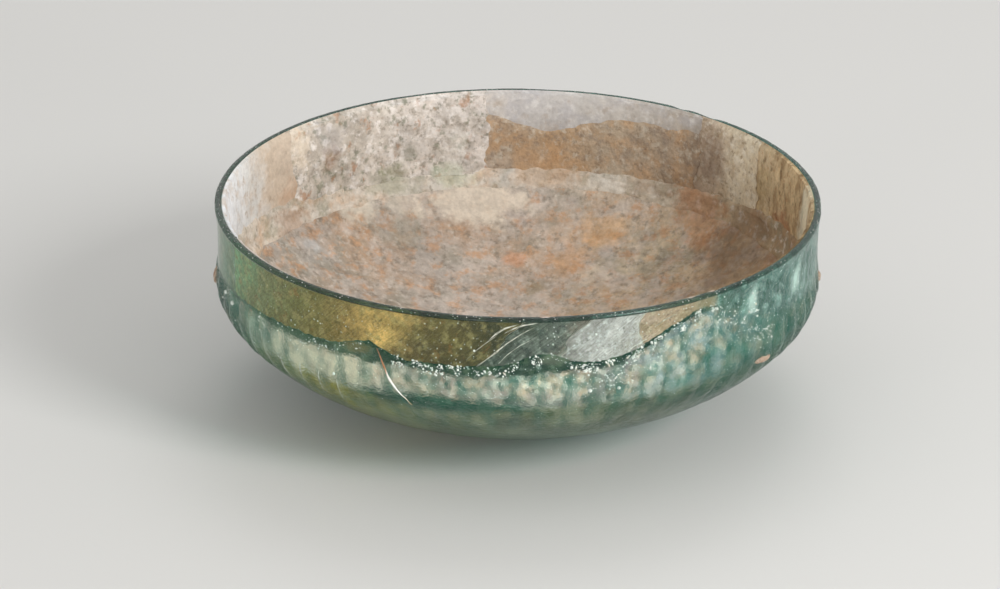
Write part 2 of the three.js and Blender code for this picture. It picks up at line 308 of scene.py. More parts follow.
def rib_swell(angle, height):
    """Height of the ribs at a place on the wall."""
    if not rib_bottom < height < rib_top + rib_top_sway / 2:
        return 0
    rib = round(angle / rib_pitch)
    uneven = noise.noise(Vector((rib * 2.7, 4.1, 0)))
    leaning = noise.noise(Vector((rib * 1.9, 0, 7.3))) * rib_lean
    beside = abs((angle - rib * rib_pitch) * bulge_radius - leaning) / (rib_width / 2)
    top = rib_top + uneven * rib_top_sway
    along = (height - rib_bottom) / (top - rib_bottom)
    if beside >= 1 or not 0 < along < 1:
        return 0
    down_side = max(beside - rib_crest_share, 0) / (1 - rib_crest_share)
    crown = 0.5 + 0.5 * math.cos(math.pi * down_side)
    return rib_height * (1 + rib_unevenness * (uneven - 0.5)) * crown * math.sin(math.pi * along) ** 0.5


def skin_shift(angle, height):
    """How far the finished outer skin stands off the even curve of the wall."""
    waves = -hand_waviness * min(height / even_foot, 1)
    waves *= 0.5 + 0.5 * ripple(angle, height, hand_wave_length, 3)
    pits = pitted(math.degrees(angle), height) * min(height / smooth_foot, 1) * pitted_relief
    return rib_swell(angle, height) + waves + pits * (ripple(angle, height, pitted_wave_length, 8) - 0.5)


def rim_dip(angle, height):
    """How far the hand-ground rim lies under its full height."""
    return rim_waviness * (0.5 + 0.5 * ripple(angle, height, rim_wave_length, 5))


def skin_place(angle, height, outward=0.0):
    """A point on the outer skin, or a distance outside it."""
    return turned(angle, wall_place(share_at_height(height), -outward - skin_shift(angle, height)))


section = [(0, 0, Vector((0, 0)))]
section += [(1, share, wall_place(share)) for share in np.linspace(0, bulge_share, underbody_steps)]
section += [(1, share, wall_place(share)) for share in np.linspace(bulge_share, 1, neck_steps)[1:]]
section += [(1, 1 + turn / math.pi, lip_place(math.pi - turn))
            for turn in np.linspace(0, math.pi, lip_steps + 1)[1:-1]]
section += [(0, share, wall_place(share, wall_thickness(share)))
            for share in np.linspace(1, 0, inside_steps)]
section += [(0, 0, Vector((0, section[-1][2].y)))]

casting = bmesh.new()
on_outside = casting.verts.layers.float.new("on_outside")
climb = casting.verts.layers.float.new("climb")
drawn = []
for outside, share, place in section:
    vertex = casting.verts.new((0, -place.x, place.y))
    vertex[on_outside] = outside
    vertex[climb] = share
    drawn.append(vertex)
edges = [casting.edges.new(pair) for pair in zip(drawn, drawn[1:])]
bmesh.ops.spin(
    casting, geom=drawn + edges, cent=(0, 0, 0), axis=(0, 0, 1), dvec=(0, 0, 0),
    angle=2 * math.pi, steps=round_steps, use_merge=True, use_normal_flip=False,
    use_duplicate=False,
)
bmesh.ops.remove_doubles(casting, verts=casting.verts, dist=0.001 * mm)
rough_zone = casting.verts.layers.float.new("rough_zone")
for vertex in casting.verts:
    if vertex[on_outside] < 0.5:
        continue
    angle = math.atan2(vertex.co.x, -vertex.co.y)
    height = vertex.co.z
    degrees = math.degrees(angle)
    tangent = wall_tangent(min(vertex[climb], 1))
    vertex[rough_zone] = pitted(degrees, height) * min(height / smooth_foot, 1)
    vertex.co += skin_shift(angle, height) * turned(angle, Vector((tangent.y, -tangent.x)))
    if vertex[climb] > 1:
        dip = rim_dip(angle, height) + rim_chipping * ripple(angle, height, rim_chip_length, 6)
        for nick in rim_nicks:
            dip += nick["depth"] * hump(degrees, nick["angle"], nick["width"])
        vertex.co.z -= max(dip, least_rim_dip) * math.sin((vertex[climb] - 1) * math.pi)
bmesh.ops.recalc_face_normals(casting, faces=casting.faces)


def nodes_of(name):
    """A new material, its node tree and its shader."""
    material = bpy.data.materials.new(name)
    material.use_nodes = True
    return material, material.node_tree, material.node_tree.nodes["Principled BSDF"]


def blend(tree, factor, first, second):
    """The output of a node that goes from a first colour to a second."""
    inputs = {0: factor, 6: first, 7: second}
    return add_node(tree, "ShaderNodeMix", inputs, data_type="RGBA").outputs[2]


def between(tree, value, low, high, low_result=0.0, high_result=1.0):
    """The output of a node that fades from one result to another between two values."""
    inputs = {"Value": value, "From Min": low, "From Max": high,
              "To Min": low_result, "To Max": high_result}
    return add_node(tree, "ShaderNodeMapRange", inputs, interpolation_type="SMOOTHSTEP").outputs[0]


def effect_group(name, inputs, outputs):
    """A group of nodes with named inputs and outputs, which are all plain values."""
    group = bpy.data.node_groups.new(name, "ShaderNodeTree")
    for title, value in inputs.items():
        socket = group.interface.new_socket(title, in_out="INPUT", socket_type="NodeSocketFloat")
        socket.default_value = value
    for title in outputs:
        group.interface.new_socket(title, in_out="OUTPUT", socket_type="NodeSocketFloat")
    return group, group.nodes.new("NodeGroupInput").outputs, group.nodes.new("NodeGroupOutput")


def group_output(tree, group, output, **values):
    """One output of a shared effect, placed with its own values."""
    inputs = {title.capitalize(): value for title, value in values.items()}
    return add_node(tree, "ShaderNodeGroup", inputs, node_tree=group).outputs[output]


def vector_math(tree, operation, first, second):
    """The output of one Vector Math node."""
    return add_node(tree, "ShaderNodeVectorMath", {0: first, 1: second}, operation=operation).outputs[0]


def scaled(tree, vector, scale):
    """A vector times a factor."""
    inputs = {0: vector, "Scale": scale}
    return add_node(tree, "ShaderNodeVectorMath", inputs, operation="SCALE").outputs[0]


def combined(tree, x, y, z):
    """A vector of three values."""
    return add_node(tree, "ShaderNodeCombineXYZ", {0: x, 1: y, 2: z}).outputs[0]


def turned_back(tree, vector, degrees):
    """A vector turned back about the upright axis by an angle in degrees."""
    angle = compute(tree, "MULTIPLY", compute(tree, "RADIANS", degrees), -1)
    inputs = {"Vector": vector, "Angle": angle}
    return add_node(tree, "ShaderNodeVectorRotate", inputs, rotation_type="Z_AXIS").outputs[0]


def object_place(tree):
    """The place on the finished object, in metres."""
    return add_node(tree, "ShaderNodeTexCoord").outputs["Object"]


def seeded(tree, place, given):
    """A place counted in a group's size in millimetres, and moved by its seed."""
    counted = scaled(tree, place, compute(tree, "DIVIDE", 1 / mm, given["Size"]))
    return vector_math(tree, "ADD", counted, given["Seed"])


def clouds(tree, place, scale, detail, roughness):
    """Soft noise from 0 to 1."""
    inputs = {"Vector": place, "Scale": scale, "Detail": detail, "Roughness": roughness}
    return add_node(tree, "ShaderNodeTexNoise", inputs).outputs["Fac"]


def shade_round_one(tree, value, middle, contrast):
    """A shade round 1 from noise that keeps round a middle."""
    centred = compute(tree, "MULTIPLY", compute(tree, "SUBTRACT", value, middle), 4.0)
    return compute(tree, "MULTIPLY_ADD", centred, contrast, 1.0)


# Where a point lies on the bowl: its angle from a middle angle, and its height
place_group, given, result = effect_group("bowl_place", {"Middle": 0.0}, ["Angle", "Height"])
swung = turned_back(place_group, object_place(place_group), given["Middle"])
parts = add_node(place_group, "ShaderNodeSeparateXYZ", {0: swung}).outputs
from_front = compute(place_group, "ARCTAN2", parts["X"], compute(place_group, "MULTIPLY", parts["Y"], -1))
place_group.links.new(compute(place_group, "DEGREES", from_front), result.inputs["Angle"])
place_group.links.new(compute(place_group, "MULTIPLY", parts["Z"], 1 / mm), result.inputs["Height"])

# Soft blots of about a size in millimetres, from 0 to 1, over a threshold
blot_group, given, result = effect_group(
    "blots", {"Size": 5.0, "Threshold": 0.5, "Softness": 0.1, "Seed": 0.0, "Height": 1.0}, ["Mask"])
lengths = combined(blot_group, 1, 1, compute(blot_group, "DIVIDE", 1, given["Height"]))
drawn_out = vector_math(blot_group, "MULTIPLY", object_place(blot_group), lengths)
cloud = clouds(blot_group, seeded(blot_group, drawn_out, given), 1.0, 4.0, 0.62)
half = compute(blot_group, "MULTIPLY", given["Softness"], 0.5)
mask = between(blot_group, cloud, compute(blot_group, "SUBTRACT", given["Threshold"], half),
               compute(blot_group, "ADD", given["Threshold"], half))
blot_group.links.new(mask, result.inputs["Mask"])

# Small pits and pimples of about a size in millimetres, as a height from 0 to 1
pit_group, given, result = effect_group("pits", {"Size": 1.0, "Seed": 0.0}, ["Height"])
place = seeded(pit_group, object_place(pit_group), given)
cells = add_node(pit_group, "ShaderNodeTexVoronoi", {"Vector": place, "Scale": 1.0, "Smoothness": 0.6},
                 feature="SMOOTH_F1").outputs["Distance"]
fuzz = compute(pit_group, "MULTIPLY", clouds(pit_group, place, 2.3, 3.0, 0.6), 0.5)
pit_group.links.new(compute(pit_group, "MULTIPLY_ADD", cells, 0.6, fuzz), result.inputs["Height"])

# Unevenness of a matt colour in three sizes at once, as a shade round 1
shade_group, given, result = effect_group(
    "grainy_shade", {"Size": 0.5, "Contrast": 0.5, "Seed": 0.0}, ["Shade"])
place = seeded(shade_group, object_place(shade_group), given)
total = 0.0
for coarseness, weight in ((1.0, 0.40), (0.34, 0.35), (0.08, 0.35)):
    cloud = clouds(shade_group, place, coarseness, 2.0, 0.6)
    total = compute(shade_group, "MULTIPLY_ADD", cloud, weight, total)
shade = shade_round_one(shade_group, total, 0.55, given["Contrast"])
shade_group.links.new(shade, result.inputs["Shade"])

# Fine threads that lean to one side on the unrolled wall, as a shade round 1
thread_group, given, result = effect_group(
    "threads", {"Width": 0.3, "Length": 3.0, "Lean": 45.0, "Middle": 0.0, "Contrast": 0.3}, ["Shade"])
angle = group_output(thread_group, place_group, "Angle", middle=given["Middle"])
round_wall = compute(thread_group, "MULTIPLY", angle, math.radians(1) * bulge_radius / mm)
height = group_output(thread_group, place_group, "Height")
tilted = turned_back(thread_group, combined(thread_group, round_wall, height, 0), given["Lean"])
sizes = combined(thread_group, given["Length"], given["Width"], 1)
strands = clouds(thread_group, vector_math(thread_group, "DIVIDE", tilted, sizes), 1.0, 3.0, 0.65)
shade = shade_round_one(thread_group, strands, 0.5, given["Contrast"])
thread_group.links.new(shade, result.inputs["Shade"])

# One soft ragged spot of a size in millimetres round a place, from 0 to 1
spot_group, given, result = effect_group(
    "spot", {"X": 0.0, "Y": 0.0, "Z": 0.0, "Size": 4.0, "Flatness": 1.0, "Ragged": 0.5}, ["Mask"])
middle = combined(spot_group, given["X"], given["Y"], given["Z"])
away = vector_math(spot_group, "SUBTRACT", scaled(spot_group, object_place(spot_group), 1 / mm), middle)
away = vector_math(spot_group, "MULTIPLY", away, combined(spot_group, 1, 1, given["Flatness"]))
distance = add_node(spot_group, "ShaderNodeVectorMath", {0: away}, operation="LENGTH").outputs["Value"]
reach = compute(spot_group, "DIVIDE", distance, given["Size"])
raggedness = compute(spot_group, "SUBTRACT", given["Ragged"], 0.5)
reach = compute(spot_group, "MULTIPLY_ADD", raggedness, 0.9, reach)
spot_group.links.new(between(spot_group, reach, 1.15, 0.45), result.inputs["Mask"])


glass_clear = paint(250, 255, 252)
# Dark green of the ground rim: partly its weathered colour, partly painted shade
rim_green_and_shade = paint(28, 84, 68)
ground_rim = (44.25, 44.6)
glass_roughness = 0.015
pitted_roughness = 0.025
rim_roughness = 0.12
glass_bump = 0.7 * mm
glass_index = 1.33
glint_strength = 0.4
glint_roughness = 0.17
glint_index = 1.6
grinding_lean = math.radians(38)
grinding_fineness = (900, 900, 120)
grinding_relief = 0.05
absorbed_colour = (0.45, 0.79, 0.73, 1)
absorption = 85
shadow_tint = (0.93, 0.97, 0.96, 1)

glass, tree, shader = nodes_of("blue_green_glass")
height = group_output(tree, place_group, "Height")
rim_mask = between(tree, height, *ground_rim)
rough_mask = add_node(tree, "ShaderNodeAttribute", attribute_name="rough_zone").outputs["Fac"]
# At the ground rim the glass turns dark green, its weathered colour darkened further as painted shade
base = blend(tree, rim_mask, glass_clear, rim_green_and_shade)
tree.links.new(base, shader.inputs["Base Color"])
gloss = between(tree, rough_mask, 0, 1, glass_roughness, pitted_roughness)
gloss = compute(tree, "MAXIMUM", gloss, compute(tree, "MULTIPLY", rim_mask, rim_roughness))
tree.links.new(gloss, shader.inputs["Roughness"])
shader.inputs["IOR"].default_value = glass_index
shader.inputs["Transmission Weight"].default_value = 1
large_pits = group_output(tree, pit_group, "Height", size=1.1, seed=3.0)
small_pits = group_output(tree, pit_group, "Height", size=0.5, seed=9.0)
worn_mask = compute(tree, "MAXIMUM", rough_mask, rim_mask)
worn = compute(tree, "MULTIPLY", compute(tree, "ADD", large_pits, small_pits), worn_mask)
grinding = add_node(tree, "ShaderNodeMapping", {
    "Vector": object_place(tree), "Rotation": (0, grinding_lean, 0), "Scale": grinding_fineness}).outputs[0]
lines = clouds(tree, grinding, 1.0, 2.0, 0.5)
relief = compute(tree, "ADD", worn, compute(tree, "MULTIPLY", lines, grinding_relief))
bump = add_node(tree, "ShaderNodeBump", {"Height": relief, "Distance": glass_bump, "Strength": 0.8})
tree.links.new(bump.outputs[0], shader.inputs["Normal"])
facing = add_node(tree, "ShaderNodeLayerWeight", {"Blend": 0.5}).outputs["Facing"]
glinting = compute(tree, "MULTIPLY", worn_mask, glint_strength)
glinting = compute(tree, "MULTIPLY", glinting, compute(tree, "SUBTRACT", 1, facing))
tree.links.new(glinting, shader.inputs["Coat Weight"])
shader.inputs["Coat Roughness"].default_value = glint_roughness
shader.inputs["Coat IOR"].default_value = glint_index
let_through = add_node(tree, "ShaderNodeBsdfTransparent", {"Color": shadow_tint})
light_path = add_node(tree, "ShaderNodeLightPath")
either = add_node(tree, "ShaderNodeMixShader", {
    0: light_path.outputs["Is Shadow Ray"], 1: shader.outputs[0], 2: let_through.outputs[0]})
output = tree.nodes["Material Output"]
tree.links.new(either.outputs[0], output.inputs["Surface"])
depth_colour = add_node(tree, "ShaderNodeVolumeAbsorption",
                        {"Color": absorbed_colour, "Density": absorption})
tree.links.new(depth_colour.outputs[0], output.inputs["Volume"])


def finish_piece(name, shape, materials, stands_for=(), crease=50):
    """Makes a finished mesh a piece of the object, smooth apart from its sharp edges."""
    mesh = bpy.data.meshes.new(name)
    shape.to_mesh(mesh)
    shape.free()
    mesh.shade_smooth()
    mesh.set_sharp_from_angle(angle=math.radians(crease))
    for material in materials:
        mesh.materials.append(material)
    piece = bpy.data.objects.new(name, mesh)
    bpy.context.scene.collection.objects.link(piece)
    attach(piece, "root")
    if stands_for:
        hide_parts(*stands_for)


finish_piece("cast_bowl", casting, [glass], ["glass_bowl"], crease=80)


# Floor crust. Earth and lime that lie on the floor and the inside of the underbody, pinkish
# beige with orange, brown and grey-green stains. Seen through the glass it is grey-green.
seat_depth = 0.06 * mm
lap_seat = 0.20 * mm
under_lap = 0.5 * mm
lip_share = 0.06
upright_height = 36.5


def inner_place(share, depth):
    """Radius and height of a point that lies a depth off the inner wall. Shares under 0 run
    on to the middle of the floor, and shares over 1 run on over the lip."""
    if share > 1:
        return lip_place(min((share - 1) / lip_share, 1) * math.pi / 2, depth)
    wall = wall_place(max(share, 0), wall_thickness(share) + depth)
    if share < 0:
        wall.x *= 1 + share
    return wall


def sunk(across, up):
    """A layer's outer face lies a little within the glass."""
    return -seat_depth


def lay_layer(columns, rows, place_at, depth_at, around=False, seat_at=sunk):
    """A layer on the inner wall. place_at gives the angle in radians and the share for a
    point across and up the layer, each from 0 to 1. depth_at and seat_at give how far its
    inner and its outer face lie off the inner wall there."""
    layer = bmesh.new()
    bmesh.ops.create_grid(layer, x_segments=columns, y_segments=rows, size=0.5)
    across = layer.verts.layers.float.new("across")
    up = layer.verts.layers.float.new("up")
    for vertex in layer.verts:
        vertex[across] = vertex.co.x + 0.5
        vertex[up] = vertex.co.y + 0.5
        angle, share = place_at(vertex[across], vertex[up])
        vertex.co = turned(angle, inner_place(share, seat_at(vertex[across], vertex[up])))
    if around:
        bmesh.ops.remove_doubles(layer, verts=layer.verts, dist=0.001 * mm)
    towards_glass = layer.faces[:]
    raised = bmesh.ops.extrude_face_region(layer, geom=towards_glass, use_keep_orig=True)
    for face in layer.faces:
        face.material_index = 1
    for face in towards_glass:
        face.material_index = 0
    for vertex in raised["geom"]:
        if isinstance(vertex, bmesh.types.BMVert):
            angle, share = place_at(vertex[across], vertex[up])
            thickness = depth_at(vertex[across], vertex[up], angle, share)
            vertex.co = turned(angle, inner_place(share, thickness))
    bmesh.ops.recalc_face_normals(layer, faces=layer.faces)
    return layer


def toned(tree, tones, middle, ragged, sway, lean):
    """The colour at an angle, from tones at angles in degrees. Ragged noise makes them sway by
    some degrees, and they lean by some degrees to a millimetre over the upright height."""
    first_angle, last_angle = tones[0][0], tones[-1][0]
    angle = group_output(tree, place_group, "Angle", middle=middle)
    angle = compute(tree, "ADD", angle, between(tree, ragged, 0, 1, -sway, sway))
    if lean:
        above = compute(tree, "SUBTRACT", group_output(tree, place_group, "Height"), upright_height)
        angle = compute(tree, "SUBTRACT", angle, compute(tree, "MULTIPLY", above, lean))
    along = between(tree, angle, first_angle - middle, last_angle - middle)
    along.node.interpolation_type = "LINEAR"
    ramp = add_node(tree, "ShaderNodeValToRGB", {"Fac": along})
    marks = ramp.color_ramp.elements
    marks.remove(marks[1])
    marks[0].color = paint(*tones[0][1])
    for tone_angle, tone in tones[1:]:
        mark = marks.new((tone_angle - first_angle) / (last_angle - first_angle))
        mark.color = paint(*tone)
    return ramp.outputs["Color"]


def blotted(tree, colour, blots, spots, ragged):
    """Lays blots and spots of other colours over a colour."""
    for size, threshold, softness, strength, tone, *height in blots:
        seed = 7.0 + 13 * size + 31 * threshold
        mask = group_output(tree, blot_group, "Mask", size=size, threshold=threshold, softness=softness,
                            seed=seed, height=height[0] if height else 1.0)
        colour = blend(tree, compute(tree, "MULTIPLY", mask, strength), colour, paint(*tone))
    for (x, y, z), size, flatness, strength, tone in spots:
        mask = group_output(tree, spot_group, "Mask", x=x, y=y, z=z, size=size, flatness=flatness,
                            ragged=ragged)
        colour = blend(tree, compute(tree, "MULTIPLY", mask, strength), colour, paint(*tone))
    return colour


def layer_material(name, tones, blots=(), grain=0.6, relief=0.10, roughness=0.9, over=None,
                   contrast=0.3, threads=None, spots=(), sway=2.5, lean=0, gloss=0.3):
    """A matt layer of tones at angles in degrees. Each blot lays another colour over them in
    patches of a size in millimetres, over a threshold of the noise, and each spot lays one at
    a single place. Threads give width, length, lean and contrast."""
    material, tree, shader = nodes_of(name)
    middle = (tones[0][0] + tones[-1][0]) / 2
    ragged = group_output(tree, blot_group, "Mask", size=5.0, threshold=0.5, softness=0.5, seed=41.0)
    colour = blotted(tree, toned(tree, tones, middle, ragged, sway, lean), blots, spots, ragged)
    if over:
        colour = over(tree, colour)
    shade = group_output(tree, shade_group, "Shade", size=grain, contrast=contrast, seed=13.0)
    if threads:
        width, length, tilt, depth = threads
        lines = group_output(tree, thread_group, "Shade", width=width, length=length, lean=tilt,
                             middle=middle, contrast=depth)
        shade = compute(tree, "MULTIPLY", shade, lines)
    shaded = add_node(tree, "ShaderNodeMix", {0: 1.0, 6: colour, 7: shade}, data_type="RGBA",
                      blend_type="MULTIPLY").outputs[2]
    tree.links.new(shaded, shader.inputs["Base Color"])
    shader.inputs["Roughness"].default_value = roughness
    shader.inputs["Specular IOR Level"].default_value = gloss
    pits = group_output(tree, pit_group, "Height", size=grain, seed=5.0)
    bump = add_node(tree, "ShaderNodeBump", {"Height": pits, "Distance": relief * mm, "Strength": 0.7})
    tree.links.new(bump.outputs[0], shader.inputs["Normal"])
    return material


def edge_fade(value, width):
    """Rises from 0 at both ends of a stretch from 0 to 1 to full at a width from them."""
    return min(min(value, 1 - value) / width, 1) ** 0.5


floor_crust_inside = layer_material(
    "floor_crust_inside",
    [(-180, (198, 184, 172)), (-120, (166, 159, 150)), (-60, (134, 129, 122)), (0, (119, 105, 90)),
     (50, (161, 143, 122)), (95, (181, 155, 126)), (140, (219, 200, 170)), (180, (201, 188, 177))],
    [
        (16, 0.54, 0.3, 0.7, (183, 151, 121)),
        (7, 0.56, 0.25, 0.6, (143, 139, 124)),
        (5, 0.55, 0.25, 0.6, (207, 194, 183)),
        (3.2, 0.58, 0.2, 0.6, (199, 151, 110)),
        (2.0, 0.60, 0.2, 0.6, (126, 117, 103)),
        (1.3, 0.60, 0.2, 0.5, (213, 203, 191)),
    ],
    grain=1.0, relief=0.35, contrast=0.32,
    spots=[
        ((-35, 48, 23.5), 6, 1.2, 0.8, (218, 208, 191)), ((-27.5, 52, 22.5), 5, 1.2, 0.5, (221, 210, 193)),
        ((-9, 56.5, 21), 13, 2.6, 0.8, (232, 218, 199)), ((-26, 46.5, 17.5), 6, 1.2, 0.43, (152, 148, 132)),
        ((-45, 33, 19.7), 2.4, 0.6, 0.56, (208, 207, 205)),
        ((-0.5, 44, 12.3), 2.6, 1, 0.43, (218, 154, 110)),
        ((20, 49, 17.3), 7, 1.8, 0.43, (230, 180, 126)), ((12, 43.3, 12.6), 5, 1, 0.43, (220, 169, 121)),
        ((20, 43.3, 14), 2.6, 1, 0.5, (204, 200, 196)), ((3.7, 35.4, 8.7), 2.6, 0.7, 0.43, (136, 120, 86)),
        ((50, 26, 20), 15, 1, 0.5, (134, 105, 77)), ((42, 43, 22), 8, 1, 0.37, (204, 137, 87)),
    ],
)


def teal_flanks(tree, colour):
    """Lays the teal of the glass over a colour at both flanks of the bowl: painted shading, for the deeper
    teal the glass shows where it is seen edge-on.
    """
    angle = group_output(tree, place_group, "Angle")
    cloudy = group_output(tree, blot_group, "Mask", size=4.0, threshold=0.5, softness=0.4, seed=47.0)
    angle = compute(tree, "MULTIPLY_ADD", cloudy, 14.0, angle)
    right = compute(tree, "MULTIPLY", between(tree, angle, 30, 62), between(tree, angle, 130, 105))
    left = compute(tree, "MULTIPLY", between(tree, angle, -56, -74), between(tree, angle, -130, -105))
    flanks = compute(tree, "MULTIPLY", compute(tree, "ADD", right, left), 0.7)
    return blend(tree, flanks, colour, paint(22, 88, 74))


def rib_streaks(tree, colour):
    """Lays teal streaks over a colour, one to a rib, broken up along their length: painted shade of the
    ribs, as seen through the glass.
    """
    angle = compute(tree, "RADIANS", group_output(tree, place_group, "Angle"))
    lean = group_output(tree, blot_group, "Mask", size=5.0, threshold=0.5, softness=0.6, seed=71.0)
    phase = compute(tree, "MULTIPLY_ADD", angle, rib_count, compute(tree, "MULTIPLY", lean, 1.4))
    streak = between(tree, compute(tree, "COSINE", phase), 0.1, 0.95)
    broken = group_output(tree, blot_group, "Mask", size=3.0, threshold=0.44, softness=0.2, seed=73.0,
                          height=2.4)
    height = group_output(tree, place_group, "Height")
    along = compute(tree, "MULTIPLY", between(tree, height, 33.5, 30.0), between(tree, height, 14.0, 19.0))
    strength = compute(tree, "MULTIPLY", compute(tree, "MULTIPLY", streak, broken), along)
    colour = blend(tree, compute(tree, "MULTIPLY", strength, 0.7), colour, paint(44, 96, 82))
    return teal_flanks(tree, colour)


floor_crust_outside = layer_material(
    "floor_crust_outside",
    [(-180, (114, 124, 104)), (-95, (66, 136, 115)), (-62, (112, 149, 101)), (-45, (209, 179, 75)),
     (-20, (116, 117, 76)), (10, (88, 102, 70)), (40, (20, 60, 44)), (70, (24, 66, 52)),
     (100, (61, 110, 95)), (180, (114, 124, 104))],
    [
        (9, 0.52, 0.14, 0.75, (178, 166, 138)),
        (6, 0.53, 0.14, 0.65, (44, 74, 56)),
        (2.4, 0.58, 0.14, 0.8, (178, 166, 140)),
        (1.1, 0.57, 0.12, 0.8, (42, 68, 50)),
        (0.8, 0.61, 0.1, 0.85, (204, 196, 172)),
    ],
    gloss=0, over=rib_streaks, grain=0.7, relief=0.12, contrast=0.7,
)


def floor_crust_top(angle):
    """Share of the wall at the crust's edge, which draws down along the bare band."""
    degrees = math.degrees(angle)
    drop = bare_band["height"] / 2 * hump(degrees, bare_band["middle"], bare_band["half_width"])
    return share_at_height(floor_crust_height + under_lap - drop + 0.6 * mm * ripple(angle, 0, 6 * mm, 12))


foot_rows = 0.24


def floor_crust_spot(across, up):
    """Angle and share of the wall, with the lowest rows running in to the middle."""
    angle = (2 * across - 1) * math.pi
    if up < foot_rows:
        return angle, up / foot_rows - 1
    return angle, (up - foot_rows) / (1 - foot_rows) * floor_crust_top(angle)


def floor_crust_depth(across, up, angle, share):
    """Knobbly thickness, thinner at the upper edge."""
    radius = 0.35 + 0.65 * up
    lumps = ripple(angle * radius, 40 * mm * up, 7 * mm, 14)
    lumps += 0.5 * ripple(angle * radius, 40 * mm * up, 2.6 * mm, 15)
    return (0.35 + 0.65 * edge_fade(0.5 + up / 2, 0.03)) * (1.25 + 0.35 * lumps) * mm


crust = lay_layer(420, 84, floor_crust_spot, floor_crust_depth, around=True)
finish_piece("earthy_crust", crust, [floor_crust_outside, floor_crust_inside],
             ["floor_crust"])

# Shoulder crust. A rough beige ring of lime behind the ribs, between the floor crust and
# the films. Through the glass it shows soft teal streaks in line with the ribs, which are
# painted shade of the ribs, and teal at both flanks, painted for the deeper glass seen edge-on.
shoulder_crust_thickness = 0.8 * mm
lap_width = 1.5 * mm
lapped_rows = 0.101

shoulder_crust_inside = layer_material(
    "shoulder_crust_inside",
    [(-180, (223, 216, 205)), (-120, (212, 202, 188)), (-60, (203, 190, 172)), (0, (195, 179, 158)),
     (60, (184, 161, 131)), (95, (138, 106, 68)), (130, (198, 178, 149)), (150, (211, 200, 182)),
     (180, (223, 216, 205))],
    [
        (8, 0.56, 0.25, 0.7, (199, 165, 131)),
        (4, 0.58, 0.22, 0.6, (154, 150, 128)),
        (2, 0.60, 0.2, 0.7, (231, 222, 210)),
        (1.4, 0.62, 0.16, 0.6, (144, 131, 111)),
    ],
    grain=0.9, relief=0.30, contrast=0.32,
    spots=[
        ((-50, 34, 25), 6, 1.4, 0.5, (166, 129, 100)), ((-28, 54, 27), 6, 1.6, 0.43, (154, 155, 123)),
        ((-14, 59, 26), 5, 2, 0.43, (200, 206, 178)), ((5, 61, 26.5), 9, 1.8, 0.5, (199, 165, 131)),
        ((30, 54, 27), 8, 1.8, 0.43, (170, 153, 133)), ((21, 57, 25), 4, 1.4, 0.5, (235, 229, 218)),
        ((41, 45, 26), 8, 1.4, 0.5, (193, 132, 86)), ((52, 32, 25), 8, 1.2, 0.43, (129, 100, 74)),
    ],
)


shoulder_crust_outside = layer_material(
    "shoulder_crust_outside",
    [(-180, (150, 152, 134)), (-110, (80, 137, 116)), (-84, (51, 131, 108)), (-66, (140, 165, 141)),
     (-45, (240, 223, 203)), (-32, (240, 220, 199)), (-15, (184, 159, 147)), (15, (164, 152, 147)),
     (38, (145, 160, 167)), (62, (53, 109, 105)), (90, (32, 96, 87)), (120, (72, 119, 105)),
     (180, (150, 152, 134))],
    [
        (5, 0.53, 0.2, 0.75, (76, 124, 110)),
        (2.8, 0.55, 0.14, 0.85, (222, 190, 164)),
        (2.2, 0.57, 0.12, 0.8, (48, 96, 82), 1.6),
        (1.0, 0.57, 0.10, 0.85, (232, 222, 208), 1.8),
        (0.8, 0.58, 0.08, 0.85, (34, 78, 66), 1.8),
        (1.6, 0.63, 0.12, 0.7, (168, 124, 88)),
    ],
    gloss=0, grain=0.5, relief=0.15, over=rib_streaks, contrast=0.7, threads=(0.35, 2.2, 74, 0.35),
    spots=[((-43.2, -47.9, 26), 15, 1.5, 0.6, (240, 220, 194))],
)


def shoulder_crust_spot(across, up):
    """Angle and share of the wall, with ragged laps over the floor crust and the films."""
    angle = (2 * across - 1) * math.pi
    degrees = math.degrees(angle)
    rise = bare_band["height"] / 2 * hump(degrees, bare_band["middle"], bare_band["half_width"])
    foot = floor_crust_height + rise + 0.6 * mm * ripple(angle, 0, 6 * mm, 12)
    top = film_edge(degrees) + 0.3 * mm * ripple(angle, 0, 4 * mm, 17)
    if up < lapped_rows:
        height = foot - (1 - up / lapped_rows) * lap_width * (1 + 0.7 * ripple(angle, 0, 4 * mm, 31))
    elif up > 1 - lapped_rows:
        height = top + (1 - (1 - up) / lapped_rows) * lap_width * (1 + 0.7 * ripple(angle, 0, 3 * mm, 32))
    else:
        height = foot + (up - lapped_rows) / (1 - 2 * lapped_rows) * (top - foot)
    return angle, share_at_height(height)


def shoulder_crust_seat(across, up):
    """The laps lie on their neighbours, and the rest lies in the glass."""
    return -seat_depth if lapped_rows <= up <= 1 - lapped_rows else lap_seat


def shoulder_crust_depth(across, up, angle, share):
    """Knobbly thickness, which runs out over the laps."""
    along = share * wall_length
    lumps = ripple(angle, along, 3.5 * mm, 18) + 0.5 * ripple(angle, along, 1.5 * mm, 19)
    full = 0.3 * mm + shoulder_crust_thickness * (1.1 + 0.5 * lumps)
    return lap_seat + (full - lap_seat) * edge_fade(up, lapped_rows)


crust = lay_layer(640, 30, shoulder_crust_spot, shoulder_crust_depth, around=True,
                  seat_at=shoulder_crust_seat)
finish_piece("beige_ring", crust, [shoulder_crust_outside, shoulder_crust_inside],
             ["shoulder_crust"])


# Dark skins in the glass. A wavy dark green line under the films, which fades out towards the
# rim at the right, and a dark teal band where the two crusts leave the glass bare. Both are
# thin dark skins, sunk a little into the inner wall. The line is painted shade, for the dark
# that shows through the bare glass along the films' edge.
dark_skin_depth = 0.14 * mm
dark_skin_rise = 0.12 * mm
shade_line_ends = (-262, 44)
shade_line_width = 1.8 * mm
shade_line_taper = 8
shade_line_swells = [(-48, 9, 0.4), (-5, 12, 0.4), (40, 8, -0.4)]
shade_line_pools = [(-30, 4.5, 3.0 * mm), (5, 5, 2.2 * mm)]
bare_edge = 0.4 * mm
